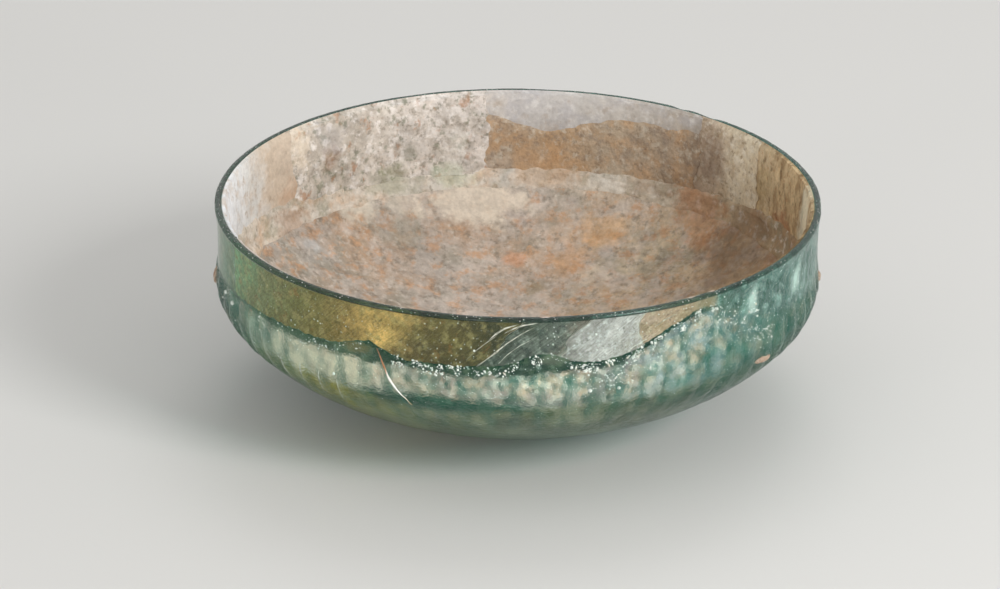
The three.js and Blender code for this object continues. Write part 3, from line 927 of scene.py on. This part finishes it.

# The line's dark green is painted shade, for the dark seen through the bare glass along the films' edge
painted_shade_line = layer_material(
    "painted_shade_green_line",
    [(-262, (63, 91, 72)), (-60, (84, 108, 88)), (-38, (74, 96, 74)), (-24, (38, 68, 53)),
     (10, (23, 56, 45)), (44, (41, 77, 67))],
    [
        (2.0, 0.56, 0.2, 0.7, (97, 116, 89)),
        (1.0, 0.60, 0.12, 0.8, (22, 49, 39)),
        (0.8, 0.64, 0.08, 0.9, (177, 195, 184)),
    ],
    gloss=0, grain=0.5, relief=0.2, roughness=0.6, contrast=0.5,
    spots=[((-32.4, -52.9, 33.7), 4.2, 3.2, 0.9, (116, 110, 74)),
           ((7.6, -61.6, 35), 3.6, 3, 0.8, (98, 104, 88))],
)
dark_band = layer_material(
    "dark_teal_band",
    [(-40, (33, 77, 59)), (-20, (23, 71, 56)), (8, (25, 80, 64))],
    [
        (4, 0.54, 0.2, 0.7, (80, 117, 96)),
        (1.6, 0.57, 0.14, 0.8, (21, 64, 51), 2.2),
        (1.0, 0.60, 0.12, 0.8, (104, 144, 124), 2.5),
    ],
    gloss=0, grain=0.5, relief=0.15, roughness=0.7, contrast=0.5,
)


def shade_line_spot(across, up):
    """Angle and share of the wall along the line, which swells, pools and tapers."""
    first, last = shade_line_ends
    degrees = first + across * (last - first)
    angle = math.radians(degrees)
    swell = sum(size * hump(degrees, middle, half) for middle, half, size in shade_line_swells)
    wide = shade_line_width * (1 + swell) * (1 + 0.5 * ripple(angle, 0, 4 * mm, 21))
    wide *= min(1, (last - degrees) / shade_line_taper, (degrees - first) / shade_line_taper)
    ragged = 0.35 * mm * ripple(angle, 0, 3 * mm, 22) + 0.35 * mm * ripple(angle, 0, 1.1 * mm, 34)
    top = film_edge(degrees) + 0.15 * wide + ragged
    pool = sum(depth * hump(degrees, middle, half) for middle, half, depth in shade_line_pools)
    bottom = film_edge(degrees) - 0.85 * wide - pool + 0.35 * mm * ripple(angle, 0, 3 * mm, 23)
    low, high = share_at_height(bottom), share_at_height(top)
    return angle, low + up * (high - low)


def bare_band_spot(across, up):
    """Angle and share of the wall in the gap between the two crusts."""
    degrees = bare_band["middle"] + (2 * across - 1) * 1.3 * bare_band["half_width"]
    angle = math.radians(degrees)
    half = bare_band["height"] / 2 * hump(degrees, bare_band["middle"], 0.9 * bare_band["half_width"])
    half = max(half - bare_edge, 0) + 0.05 * mm
    middle = floor_crust_height + 0.5 * mm * ripple(angle, 0, 5 * mm, 24)
    low, high = share_at_height(middle - half), share_at_height(middle + half)
    return angle, low + up * (high - low)


def dark_skin_thickness(across, up, angle, share):
    """A dark skin stands a little off the glass on the inside."""
    return dark_skin_rise


def dark_skin_seat(across, up):
    """A dark skin is sunk deeper in the glass than the layers behind it."""
    return -dark_skin_depth


line = lay_layer(900, 4, shade_line_spot, dark_skin_thickness, seat_at=dark_skin_seat)
finish_piece("painted_shade_line", line, [painted_shade_line, painted_shade_line])
band = lay_layer(90, 12, bare_band_spot, dark_skin_thickness, seat_at=dark_skin_seat)
finish_piece("dark_band", band, [dark_band, dark_band])


# Films on the upper wall. Thin skins of weathered glass and lime in patches side by side,
# each of its own colour. They meet in ragged joints and creep a little way over the lip,
# where they show as a fine pale line inside the dark rim.
film_joint_sway = 1.9
leaning_joints = (-5, 8.5)
joint_lean = 60
thin_film = 0.35 * mm
thick_film = 0.45 * mm
granular_film = 0.9 * mm
film_step = 0.6 * mm
film_rows = 30
film_lip_depth = 0.2 * mm
film_lip_rise = (0.12, 0.25)
stack_drop = 4.3
stack_sag = {"middle": 174, "half_width": 9, "depth": 4.5}
# Heights on the lip where films take the rim's green, partly weathering and partly painted shade
stained_and_shaded_lip = (44.1, 44.4)


def film_top(degrees):
    """Share of the wall at a film's upper edge. At the back it lies further up the lip."""
    backness = ((1 - math.cos(math.radians(degrees))) / 2) ** 2
    front_rise, back_rise = film_lip_rise
    return 1 + (front_rise + back_rise * backness) * lip_share


def joint_angle(degrees, share):
    """Angle of the ragged joint between two films at a share of the wall, in degrees."""
    lean = (share - 0.9) * joint_lean if degrees in leaning_joints else 0
    height = share * wall_length
    sway = ripple(math.radians(degrees), height, 6 * mm, degrees)
    sway += 0.5 * ripple(math.radians(degrees), height, 1.8 * mm, degrees + 5)
    return degrees + lean + film_joint_sway * sway


def rim_stain_and_shade(tree, colour):
    """Darkens a colour to the green of the ground rim, where the film lies on the lip: partly the rim's
    weathered green, partly painted shade.
    """
    mask = between(tree, group_output(tree, place_group, "Height"), *stained_and_shaded_lip)
    return blend(tree, mask, colour, paint(18, 56, 46))


def lay_film(name, node, start, end, thickness, outside, inside, laps=(0, 0),
             below=None, above=None, lap_above=0):
    """One film between two joints, at degrees, and between the wavy line and the lip. It
    laps over its neighbours by the degrees in laps, and over the film above by a height."""
    columns = round(math.radians(end - start) * bulge_radius / film_step)
    lap_columns = [round(math.radians(lap) * bulge_radius / film_step) + 1 if lap else 0 for lap in laps]
    all_columns = columns + sum(lap_columns)
    first = (lap_columns[0] - 0.5) / all_columns
    last = 1 - (lap_columns[1] - 0.5) / all_columns
    last_row = 1 - 2.5 / film_rows if lap_above else 1.1

    def share_up(degrees, up):
        """Share of the wall at a share of the film's height."""
        edge = film_edge(degrees) - under_lap + 0.3 * mm * ripple(math.radians(degrees), 0, 4 * mm, 17)
        foot = share_at_height(below(degrees) if below else edge)
        if not above:
            return foot + up * (film_top(degrees) - foot)
        joint = share_at_height(above(degrees))
        if up < last_row:
            return foot + up / last_row * (joint - foot)
        beyond = (up - last_row) / (1 - last_row)
        return joint + beyond * (share_at_height(above(degrees) + lap_above * beyond) - joint)

    def beyond_joint(degrees, share, reach):
        """Angle of the ragged lap beyond a joint."""
        ragged = 1 + 0.6 * ripple(0, share * wall_length, 3 * mm, degrees)
        return joint_angle(degrees, share) + reach * ragged

    def spot(across, up):
        """Angle and share of the wall, between the joints or on a lap."""
        within = (across - first) / (last - first)
        share = share_up(start + min(max(within, 0), 1) * (end - start), up)
        swayed = (1 - within) * joint_angle(start, share) + within * joint_angle(end, share)
        if across < first and laps[0]:
            swayed = beyond_joint(start, share, -laps[0] * (1 - across / first))
        elif across > last and laps[1]:
            swayed = beyond_joint(end, share, laps[1] * (1 - (1 - across) / (1 - last)))
        return math.radians(swayed), share

    def seat(across, up):
        """The laps lie on the neighbours, and the rest lies in the glass."""
        lapping = across < first and laps[0] or across > last and laps[1] or up > last_row
        return lap_seat if lapping else -seat_depth

    def depth(across, up, angle, share):
        """Uneven thickness, thin on the lip and running out over the laps."""
        height = share * wall_length
        lumps = ripple(angle, height, 3 * mm, 26) + 0.5 * ripple(angle, height, 1.2 * mm, 27)
        full = 0.25 * mm + thickness * (1 + 0.45 * lumps)
        if share > 1:
            full = min(full, film_lip_depth)
        from_ends = [1]
        if laps[0]:
            from_ends.append(across / (2 * first))
        if laps[1]:
            from_ends.append((1 - across) / (2 * (1 - last)))
        if lap_above:
            from_ends.append((1 - up) / (2 * (1 - last_row)))
        fade = min(from_ends) ** 0.6
        return lap_seat * (1 - fade) + full * fade

    film = lay_layer(all_columns, film_rows, spot, depth, seat_at=seat)
    finish_piece(name, film, [outside, inside], [node])


def stack_split(degrees):
    """Height of the wavy joint between the pale film and the brown crust at the back."""
    angle = math.radians(degrees)
    drop = stack_drop + stack_sag["depth"] * hump(degrees, stack_sag["middle"], stack_sag["half_width"])
    drop += 0.9 * ripple(angle, 0, 7 * mm, 29) + 0.5 * ripple(angle, 0, 2.2 * mm, 30)
    return rim_height - drop * mm


speckle = (0.7, 0.68, 0.08, 0.9, (220, 218, 202))

gold_outside = layer_material(
    "gold_film_outside",
    [(-70, (118, 168, 121)), (-58, (130, 135, 97)), (-46, (128, 120, 74)), (-35, (152, 122, 74)),
     (-29, (240, 190, 118)), (-21, (100, 84, 56)), (-8, (64, 62, 46)), (0, (75, 74, 56))],
    [
        (6, 0.54, 0.3, 0.6, (114, 100, 58)),
        (2.2, 0.56, 0.2, 0.5, (172, 153, 104)),
        (1.0, 0.58, 0.16, 0.5, (90, 81, 50)),
        (3, 0.64, 0.12, 0.4, (145, 92, 48)),
        speckle,
    ],
    gloss=0, grain=0.35, relief=0.12, over=rim_stain_and_shade, contrast=0.4, threads=(0.3, 2.6, 42, 0.35),
    lean=0.5,
)
front_inside = layer_material(
    "front_films_inside",
    [(-70, (214, 204, 196)), (-20, (214, 196, 184)), (20, (210, 194, 182)), (45, (186, 168, 146))],
    [
        (4, 0.57, 0.2, 0.6, (182, 160, 138)),
        (2, 0.60, 0.18, 0.7, (228, 218, 210)),
    ],
    grain=0.7, relief=0.2,
)
grey_outside = layer_material(
    "grey_film_outside",
    [(-10, (51, 53, 42)), (-3, (75, 80, 69)), (4, (100, 102, 95)), (9, (118, 108, 98)),
     (13, (143, 131, 121))],
    [
        (2.4, 0.54, 0.2, 0.6, (61, 72, 66)),
        (1.6, 0.58, 0.16, 0.6, (137, 141, 131)),
        (0.8, 0.62, 0.12, 0.6, (55, 61, 54)),
        speckle,
    ],
    gloss=0, grain=0.35, relief=0.12, over=rim_stain_and_shade, contrast=0.5, threads=(0.35, 4.5, 40, 0.5),
    lean=0.68,
)
silver_outside = layer_material(
    "silver_film_outside",
    [(4, (114, 109, 103)), (9, (143, 136, 130)), (15, (181, 171, 168)), (21, (175, 165, 160)),
     (27, (153, 143, 128))],
    [
        (2.2, 0.56, 0.2, 0.5, (142, 132, 129)),
        (0.9, 0.62, 0.10, 0.7, (91, 86, 79)),
        (1.3, 0.58, 0.16, 0.6, (211, 205, 203)),
    ],
    gloss=0, grain=0.3, relief=0.10, over=rim_stain_and_shade, contrast=0.4, threads=(0.28, 3.2, 38, 0.4), lean=0.4,
)
tan_outside = layer_material(
    "tan_film_outside",
    [(21, (170, 148, 135)), (28, (176, 148, 126)), (36, (163, 138, 111)), (44, (98, 118, 98))],
    [
        (3, 0.56, 0.2, 0.6, (134, 115, 84)),
        (1.4, 0.60, 0.14, 0.6, (195, 180, 156)),
        (0.8, 0.62, 0.1, 0.6, (91, 84, 67)),
        speckle,
    ],
    gloss=0, grain=0.35, relief=0.12, over=rim_stain_and_shade, contrast=0.4, threads=(0.3, 2.6, 36, 0.35),
)
lay_film("gold_film", "front_gold_film", -70, -5, thin_film,
         gold_outside, front_inside, laps=(0, 1))
lay_film("grey_film", "front_grey_film", -5, 8.5, thin_film,
         grey_outside, front_inside, laps=(0, 1))
lay_film("silver_film", "front_silver_film", 8.5, 24, thin_film,
         silver_outside, front_inside, laps=(0, 1))
lay_film("tan_film", "front_tan_film", 24, 41, thin_film,
         tan_outside, front_inside)

right_outside = layer_material(
    "right_film_outside",
    [(38, (71, 104, 88)), (55, (32, 81, 71)), (72, (31, 86, 76)), (90, (25, 82, 73)),
     (125, (73, 108, 84))],
    [
        (5, 0.53, 0.18, 0.8, (29, 74, 65)),
        (2.6, 0.57, 0.14, 0.65, (143, 176, 164)),
        (1.3, 0.57, 0.10, 0.8, (18, 58, 52)),
        # The finest pale blots are painted glints of the pitted glass
        (0.8, 0.60, 0.08, 0.9, (194, 218, 209)),
        speckle,
    ],
    gloss=0, grain=0.5, relief=0.18, over=rim_stain_and_shade, contrast=0.65, threads=(0.5, 2.2, 55, 0.4),
    # The two pale spots high on the right are painted highlights
    spots=[((58, -24, 38), 2.6, 0.6, 0.9, (206, 220, 212)),
           ((49, -40, 38.5), 1.6, 0.3, 0.7, (200, 214, 206))],
)
right_inside = layer_material(
    "right_film_inside",
    [(38, (165, 137, 108)), (60, (117, 93, 63)), (75, (124, 101, 65)), (92, (211, 189, 153)),
     (104, (205, 180, 140)), (125, (209, 190, 158))],
    [
        (3.5, 0.54, 0.2, 0.7, (144, 115, 79), 2.0),
        (2.5, 0.58, 0.2, 0.7, (214, 189, 147), 1.8),
        (1.6, 0.60, 0.16, 0.7, (117, 95, 66), 1.6),
        (1.0, 0.62, 0.14, 0.5, (168, 112, 68)),
    ],
    grain=0.8, relief=0.25, contrast=0.35,
    spots=[((57, 21, 28), 6, 1, 0.5, (158, 93, 58)), ((61, 6, 37), 6, 0.4, 0.5, (240, 240, 217)),
           ((53, 31, 35), 5, 0.8, 0.37, (174, 155, 116))],
)
khaki_inside = layer_material(
    "khaki_film_inside",
    [(119, (212, 194, 164)), (128, (224, 212, 187)), (135, (202, 184, 162)), (143, (162, 142, 123))],
    [
        (3, 0.56, 0.2, 0.6, (185, 164, 131), 1.5),
        (2, 0.58, 0.2, 0.7, (234, 225, 207)),
        (1.4, 0.60, 0.16, 0.7, (149, 129, 103)),
    ],
    grain=0.8, relief=0.25, contrast=0.32,
    spots=[((42, 44, 37), 4.5, 0.6, 0.5, (136, 112, 96))],
)
lavender_inside = layer_material(
    "lavender_film_inside",
    [(137, (180, 169, 155)), (152, (192, 185, 176)), (168, (198, 194, 189)), (180, (196, 192, 189)),
     (190, (211, 202, 191))],
    [
        (5, 0.55, 0.25, 0.6, (181, 178, 179)),
        (2, 0.60, 0.2, 0.6, (218, 215, 211)),
        (3, 0.62, 0.2, 0.5, (169, 152, 134)),
    ],
    grain=0.8, relief=0.12, contrast=0.25,
)
brown_inside = layer_material(
    "brown_crust_inside",
    [(137, (148, 127, 106)), (148, (181, 163, 142)), (160, (185, 168, 146)), (172, (188, 161, 131)),
     (182, (181, 159, 135)), (190, (194, 185, 173))],
    [
        (6, 0.53, 0.25, 0.6, (198, 159, 118)),
        (3, 0.57, 0.2, 0.6, (148, 135, 123)),
        (1.6, 0.59, 0.18, 0.6, (211, 201, 184)),
        (1.1, 0.60, 0.16, 0.5, (129, 109, 89)),
    ],
    grain=0.8, relief=0.25, contrast=0.32,
    spots=[((5, 61, 28.5), 8, 1.6, 0.43, (202, 161, 119)), ((22, 57, 29), 5, 1.4, 0.43, (214, 203, 184))],
)
granular_inside = layer_material(
    "granular_crust_inside",
    [(184, (228, 219, 211)), (205, (218, 209, 199)), (222, (207, 197, 183)), (235, (217, 207, 195))],
    [
        (4, 0.54, 0.2, 0.7, (186, 176, 163)),
        (2.6, 0.57, 0.14, 0.8, (240, 233, 226)),
        (2.2, 0.60, 0.14, 0.8, (142, 142, 123)),
        (3.2, 0.63, 0.12, 0.7, (180, 137, 105)),
        (1.3, 0.60, 0.12, 0.6, (148, 139, 125)),
    ],
    grain=1.1, relief=0.5, contrast=0.35,
    spots=[((-48, 39, 42), 4, 0.6, 0.5, (237, 219, 194)), ((-42, 45, 35.5), 3.4, 1, 0.5, (157, 120, 89)),
           ((-42, 45.4, 41), 5, 1, 0.43, (180, 175, 173)), ((-28, 54.5, 28), 5, 1.4, 0.5, (145, 146, 114)),
           ((-15, 59, 27), 4.5, 1.8, 0.43, (199, 208, 180)),
           ((-24, 56.6, 32.7), 2.0, 0.8, 0.37, (115, 120, 101)),
           ((-14, 60, 33), 4, 1, 0.5, (240, 234, 224))],
)
chalk_inside = layer_material(
    "chalk_film_inside",
    [(229, (205, 189, 171)), (240, (205, 188, 168)), (250, (223, 222, 218)), (264, (235, 237, 239)),
     (292, (235, 236, 237))],
    [
        (4, 0.58, 0.22, 0.6, (205, 187, 168)),
        (2, 0.63, 0.16, 0.6, (171, 153, 133)),
    ],
    grain=0.8, relief=0.2, contrast=0.25,
    spots=[((-48, 38, 29.5), 7, 1, 0.5, (187, 149, 118)), ((-42, 44.5, 28), 3, 0.8, 0.5, (189, 191, 178))],
)
back_outside = layer_material(
    "back_films_outside",
    [(119, (100, 129, 104)), (150, (110, 119, 83)), (180, (116, 123, 92)), (210, (133, 145, 118)),
     (245, (124, 146, 120)), (292, (110, 137, 112))],
    [
        (6, 0.54, 0.3, 0.7, (102, 109, 73)),
        (3, 0.57, 0.2, 0.6, (164, 162, 134)),
        (1.1, 0.60, 0.14, 0.5, (78, 96, 71)),
        speckle,
    ],
    gloss=0, grain=0.4, relief=0.12, over=rim_stain_and_shade, contrast=0.45, threads=(0.3, 2.6, 42, 0.3),
)
lay_film("ochre_film", "right_ochre_film", 41, 122, thick_film,
         right_outside, right_inside, laps=(1, 1.5))
lay_film("khaki_film", "back_khaki_film", 122, 140, thick_film,
         back_outside, khaki_inside, laps=(0, 1.5))
lay_film("lavender_film", "back_lavender_film", 140, 187, thin_film,
         back_outside, lavender_inside, below=lambda degrees: stack_split(degrees) - under_lap)
lay_film("brown_crust", "back_brown_crust", 140, 187, thick_film,
         back_outside, brown_inside, above=stack_split, lap_above=1 * mm)
lay_film("granular_crust", "back_granular_crust", 187, 232, granular_film,
         back_outside, granular_inside, laps=(2, 2))
lay_film("chalk_film", "left_chalk_film", 232, 290, thick_film,
         back_outside, chalk_inside, laps=(0, 1))

# Lumps. Three small lumps of pinkish lime have grown on the outside of the shoulder, one at
# each side and one low at the right.
lump_lime = layer_material(
    "lump_lime",
    [(-120, (182, 164, 146)), (0, (174, 154, 136)), (120, (170, 150, 130))],
    [
        (1.0, 0.58, 0.16, 0.6, (226, 212, 200)),
        (0.7, 0.56, 0.14, 0.6, (158, 118, 94)),
        (0.4, 0.60, 0.12, 0.5, (150, 150, 134)),
    ],
    grain=0.4, relief=0.25,
)


def grow_lump(name, node, middle, height, width, tall, rise):
    """A knobbly lump on the outer skin at an angle, in degrees, and a height."""
    lump = bmesh.new()
    bmesh.ops.create_icosphere(lump, subdivisions=5, radius=1)
    for vertex in lump.verts:
        knob = 1 + 0.22 * noise.noise(vertex.co * 2.1 + Vector((middle, 0, 0)))
        knob += 0.09 * noise.noise(vertex.co * 5.5 + Vector((0, middle, 0)))
        around, out, up = vertex.co * knob * 0.92
        angle = math.radians(middle) + around * width / 2 / bulge_radius
        vertex.co = skin_place(angle, height + up * tall / 2, out * rise)
    bmesh.ops.recalc_face_normals(lump, faces=lump.faces)
    finish_piece(name, lump, [lump_lime], [node], crease=180)


grow_lump("lime_knob_left", "left_lump", -87, 28.5 * mm, 3.2 * mm, 4.2 * mm, 0.95 * mm)
grow_lump("lime_knob_right", "right_lump", 88, 28.5 * mm, 2.4 * mm, 2.8 * mm, 0.9 * mm)
grow_lump("lime_knob_low", "lower_right_lump", 54, 24.5 * mm, 5.6 * mm, 1.7 * mm, 0.4 * mm)

# Glint specks. Hundreds of small glossy white grains on the outside, painted glints of the
# pitted glass, thickest along the wavy line and over the rough glass at the right, with a row
# along the rim and a few elsewhere.
speck_sunk = 0.3

# Fields of grains: angles in degrees, heights over the wavy line and radii in millimetres
speck_fields = [
    {"count": 900, "angles": (-24, 40), "low": -1.7, "high": 1.0, "sizes": (0.08, 0.29)},
    {"count": 130, "angles": (-60, -26), "low": -1.6, "high": 0.7, "sizes": (0.07, 0.20)},
    {"count": 700, "angles": (12, 56), "low": -6.0, "high": 0.5, "sizes": (0.06, 0.24)},
    {"count": 150, "angles": (38, 70), "low": -4.0, "high": 6.0, "sizes": (0.05, 0.17)},
    {"count": 160, "angles": (-58, 34), "low": 1.0, "high": 7.5, "sizes": (0.06, 0.17)},
    {"count": 300, "angles": (-90, 90), "low": -9.0, "high": -1.0, "sizes": (0.06, 0.17)},
    {"count": 520, "angles": (95, 270), "low": -9.0, "high": 4.0, "sizes": (0.06, 0.20)},
]

# Angle, height and radius of the larger grains that stand alone
single_specks = [(-74.5, 30.3, 0.55), (-69.5, 30.1, 0.62), (-36.4, 26.8, 0.40), (13.5, 28.2, 0.5),
                 (19, 28.2, 0.42), (14.5, 40.8, 0.3), (-8, 37.5, 0.28), (49.5, 41.4, 0.3),
                 (50.2, 40, 0.28), (50.6, 38.6, 0.3), (51, 37, 0.32), (51.2, 35.6, 0.3)]
rim_speck_count = 420
rim_speck_sizes = (0.05, 0.12)
rim_speck_turns = (20, 165)
clump_threshold = 0.02
outline_margin = 0.02 * mm
clump_size = 2.4 * mm
least_speck_height = 12 * mm
most_speck_height = 43.4 * mm

glint_paint = layer_material(
    "glint_paint_grains",
    [(-180, (226, 230, 222)), (0, (232, 234, 228)), (180, (226, 230, 222))],
    [(1.2, 0.58, 0.1, 0.8, (170, 190, 178)), (2.0, 0.62, 0.1, 0.6, (214, 190, 160))],
    grain=0.2, relief=0.03, roughness=0.25,
)
chance = random.Random(4)
specks = bmesh.new()


def add_speck(place, size):
    """A grain of a radius, grown to the specks, which all stay within the rim's outline."""
    beyond = math.hypot(place.x, place.y) + size - rim_radius + outline_margin
    if beyond > 0:
        place = place - beyond * Vector((place.x, place.y, 0)).normalized()
    place.z = min(place.z, rim_height - size - outline_margin)
    bmesh.ops.create_icosphere(specks, subdivisions=1, radius=size, matrix=Matrix.Translation(place))


for field in speck_fields:
    for grain in range(field["count"]):
        degrees = chance.uniform(*field["angles"])
        away = chance.uniform(field["low"], field["high"]) * mm
        least, most = field["sizes"]
        size = (least + (most - least) * chance.random() ** 2) * mm
        height = min(film_edge(degrees) + away, most_speck_height)
        clumped = ripple(math.radians(degrees), height, clump_size, 33) > clump_threshold
        if height < least_speck_height or not clumped:
            continue
        add_speck(skin_place(math.radians(degrees), height, -speck_sunk * size), size)
for degrees, height, size in single_specks:
    add_speck(skin_place(math.radians(degrees), height * mm, -speck_sunk * size * mm), size * mm)
for grain in range(rim_speck_count):
    angle = chance.uniform(-math.pi, math.pi)
    size = chance.uniform(*rim_speck_sizes) * mm
    turn = math.radians(chance.uniform(*rim_speck_turns))
    place = turned(angle, lip_place(turn, -speck_sunk * size))
    place.z -= rim_dip(angle, rim_height) * math.sin(turn)
    add_speck(place, size)
finish_piece("glint_specks", specks, [glint_paint], crease=180)

# Scratch lines, rib glints and a crack. Long scratch lines swing down to the left from the rim,
# white lines down the sides of four ribs paint the glints on them, and a curved crack runs down
# the wall, rusty at its upper end, with its white middle a painted reflection off the crack.
line_steps = 40
line_sunk = 0.12 * mm

# The crack's white middle is a painted reflection off its faces; the rusty upper end and brown lower end
# are stain
crack_stain_and_glint = layer_material(
    "crack_stain_and_glinting",
    [(-27.2, (84, 60, 40)), (-26.2, (150, 98, 62)), (-25.2, (176, 120, 82)), (-24.6, (236, 230, 222)),
     (-22.6, (250, 248, 244)), (-21.2, (226, 218, 200)), (-20.2, (150, 132, 92)), (-19.4, (96, 84, 56))],
    grain=0.3, relief=0.05, roughness=0.4, contrast=0.15, sway=0.1,
)
# The pale tones left of -30 degrees paint glints on four ribs; the rest colour the scratch lines
scratch_and_glint_fill = layer_material(
    "scratch_and_glint_filling",
    [(-60, (196, 196, 184)), (-30, (216, 214, 206)), (-9, (150, 150, 134)), (-4, (206, 204, 190)),
     (20, (214, 212, 200))],
    [(1.4, 0.52, 0.12, 0.8, (110, 112, 96))],
    grain=0.3, relief=0.05, roughness=0.5, sway=0.1,
)


def add_line(shape, stops, width, raised=0.03 * mm):
    """A thin line raised off the skin, through stops of angles in degrees and heights."""
    grid = bmesh.ops.create_grid(shape, x_segments=line_steps, y_segments=2, size=0.5)
    shares = np.linspace(0, 1, len(stops))

    def stop_at(share):
        """Place along the line, as distance round the bulge and height."""
        degrees, height = (float(np.interp(share, shares, values)) for values in zip(*stops))
        return Vector((math.radians(degrees) * bulge_radius, height * mm))

    spots = []
    for vertex in grid["verts"]:
        along = vertex.co.x + 0.5
        side = 2 * vertex.co.y
        run = stop_at(min(along + 0.05, 1)) - stop_at(max(along - 0.05, 0))
        across = Vector((run.y, -run.x)).normalized() * side * width / 2
        across *= math.sin(math.pi * (0.04 + 0.92 * along))
        across *= 1 + 0.5 * noise.noise(Vector((along * 17, stops[0][0], stops[0][1])))
        around, height = stop_at(along) + across
        spots.append((vertex, around / bulge_radius, height, side))
    faces = list({face for vertex in grid["verts"] for face in vertex.link_faces})
    lower = bmesh.ops.extrude_face_region(shape, geom=faces, use_keep_orig=True)["geom"]
    lowered = [vertex for vertex in lower if isinstance(vertex, bmesh.types.BMVert)]
    flat_places = {tuple(vertex.co): (angle, height) for vertex, angle, height, side in spots}
    for vertex in lowered:
        angle, height = flat_places[tuple(vertex.co)]
        vertex.co = skin_place(angle, height, -line_sunk)
    for vertex, angle, height, side in spots:
        vertex.co = skin_place(angle, height, raised * (1 - abs(side)))


crack = bmesh.new()
add_line(crack, [(-26.9, 35.2), (-26.2, 33.4), (-25.4, 31.2), (-24.4, 29.2), (-23.3, 27.2), (-21.9, 25.2),
                 (-20, 23.6)], 0.38 * mm, raised=0.10 * mm)
bmesh.ops.recalc_face_normals(crack, faces=crack.faces)
finish_piece("curved_crack", crack, [crack_stain_and_glint], crease=60)

scratches_and_rib_glints = bmesh.new()
for stops, width in [
    ([(-7.5, 33.9), (-5.8, 35.6), (-4, 37.4), (-1.8, 39.6), (0.8, 41.8), (3, 43.2)], 0.26 * mm),
    ([(-5.2, 40.2), (-4, 41.6), (-2.4, 42.9), (0, 43.9)], 0.34 * mm),
    ([(-2.4, 41.8), (-0.8, 42.9), (1, 43.7), (3.6, 44.2)], 0.30 * mm),
    ([(-9.5, 35.2), (-7.6, 37.6), (-5.6, 39.6), (-4, 41)], 0.14 * mm),
    ([(-3.5, 34.8), (-2, 36.8), (0.4, 39), (3.5, 41)], 0.13 * mm),
    ([(20, 35.6), (22, 37), (24.5, 38.2)], 0.13 * mm),
    ([(26, 40.6), (28, 41.8), (30.5, 42.6)], 0.13 * mm),
    # These four white lines down the sides of ribs are painted glints on the ribs
    ([(-50.2, 27), (-50.4, 24.6), (-50.6, 21.8)], 0.30 * mm),
    ([(-44.6, 26.8), (-45.4, 23.4), (-46.6, 20.2)], 0.28 * mm),
    ([(-39.8, 26.6), (-40.6, 23.2), (-41.6, 20.2)], 0.24 * mm),
    ([(-35.6, 26), (-36.2, 23), (-36.8, 20)], 0.20 * mm),
]:
    add_line(scratches_and_rib_glints, stops, width)
bmesh.ops.recalc_face_normals(scratches_and_rib_glints, faces=scratches_and_rib_glints.faces)
finish_piece("scratches_and_rib_glints", scratches_and_rib_glints, [scratch_and_glint_fill], crease=60)
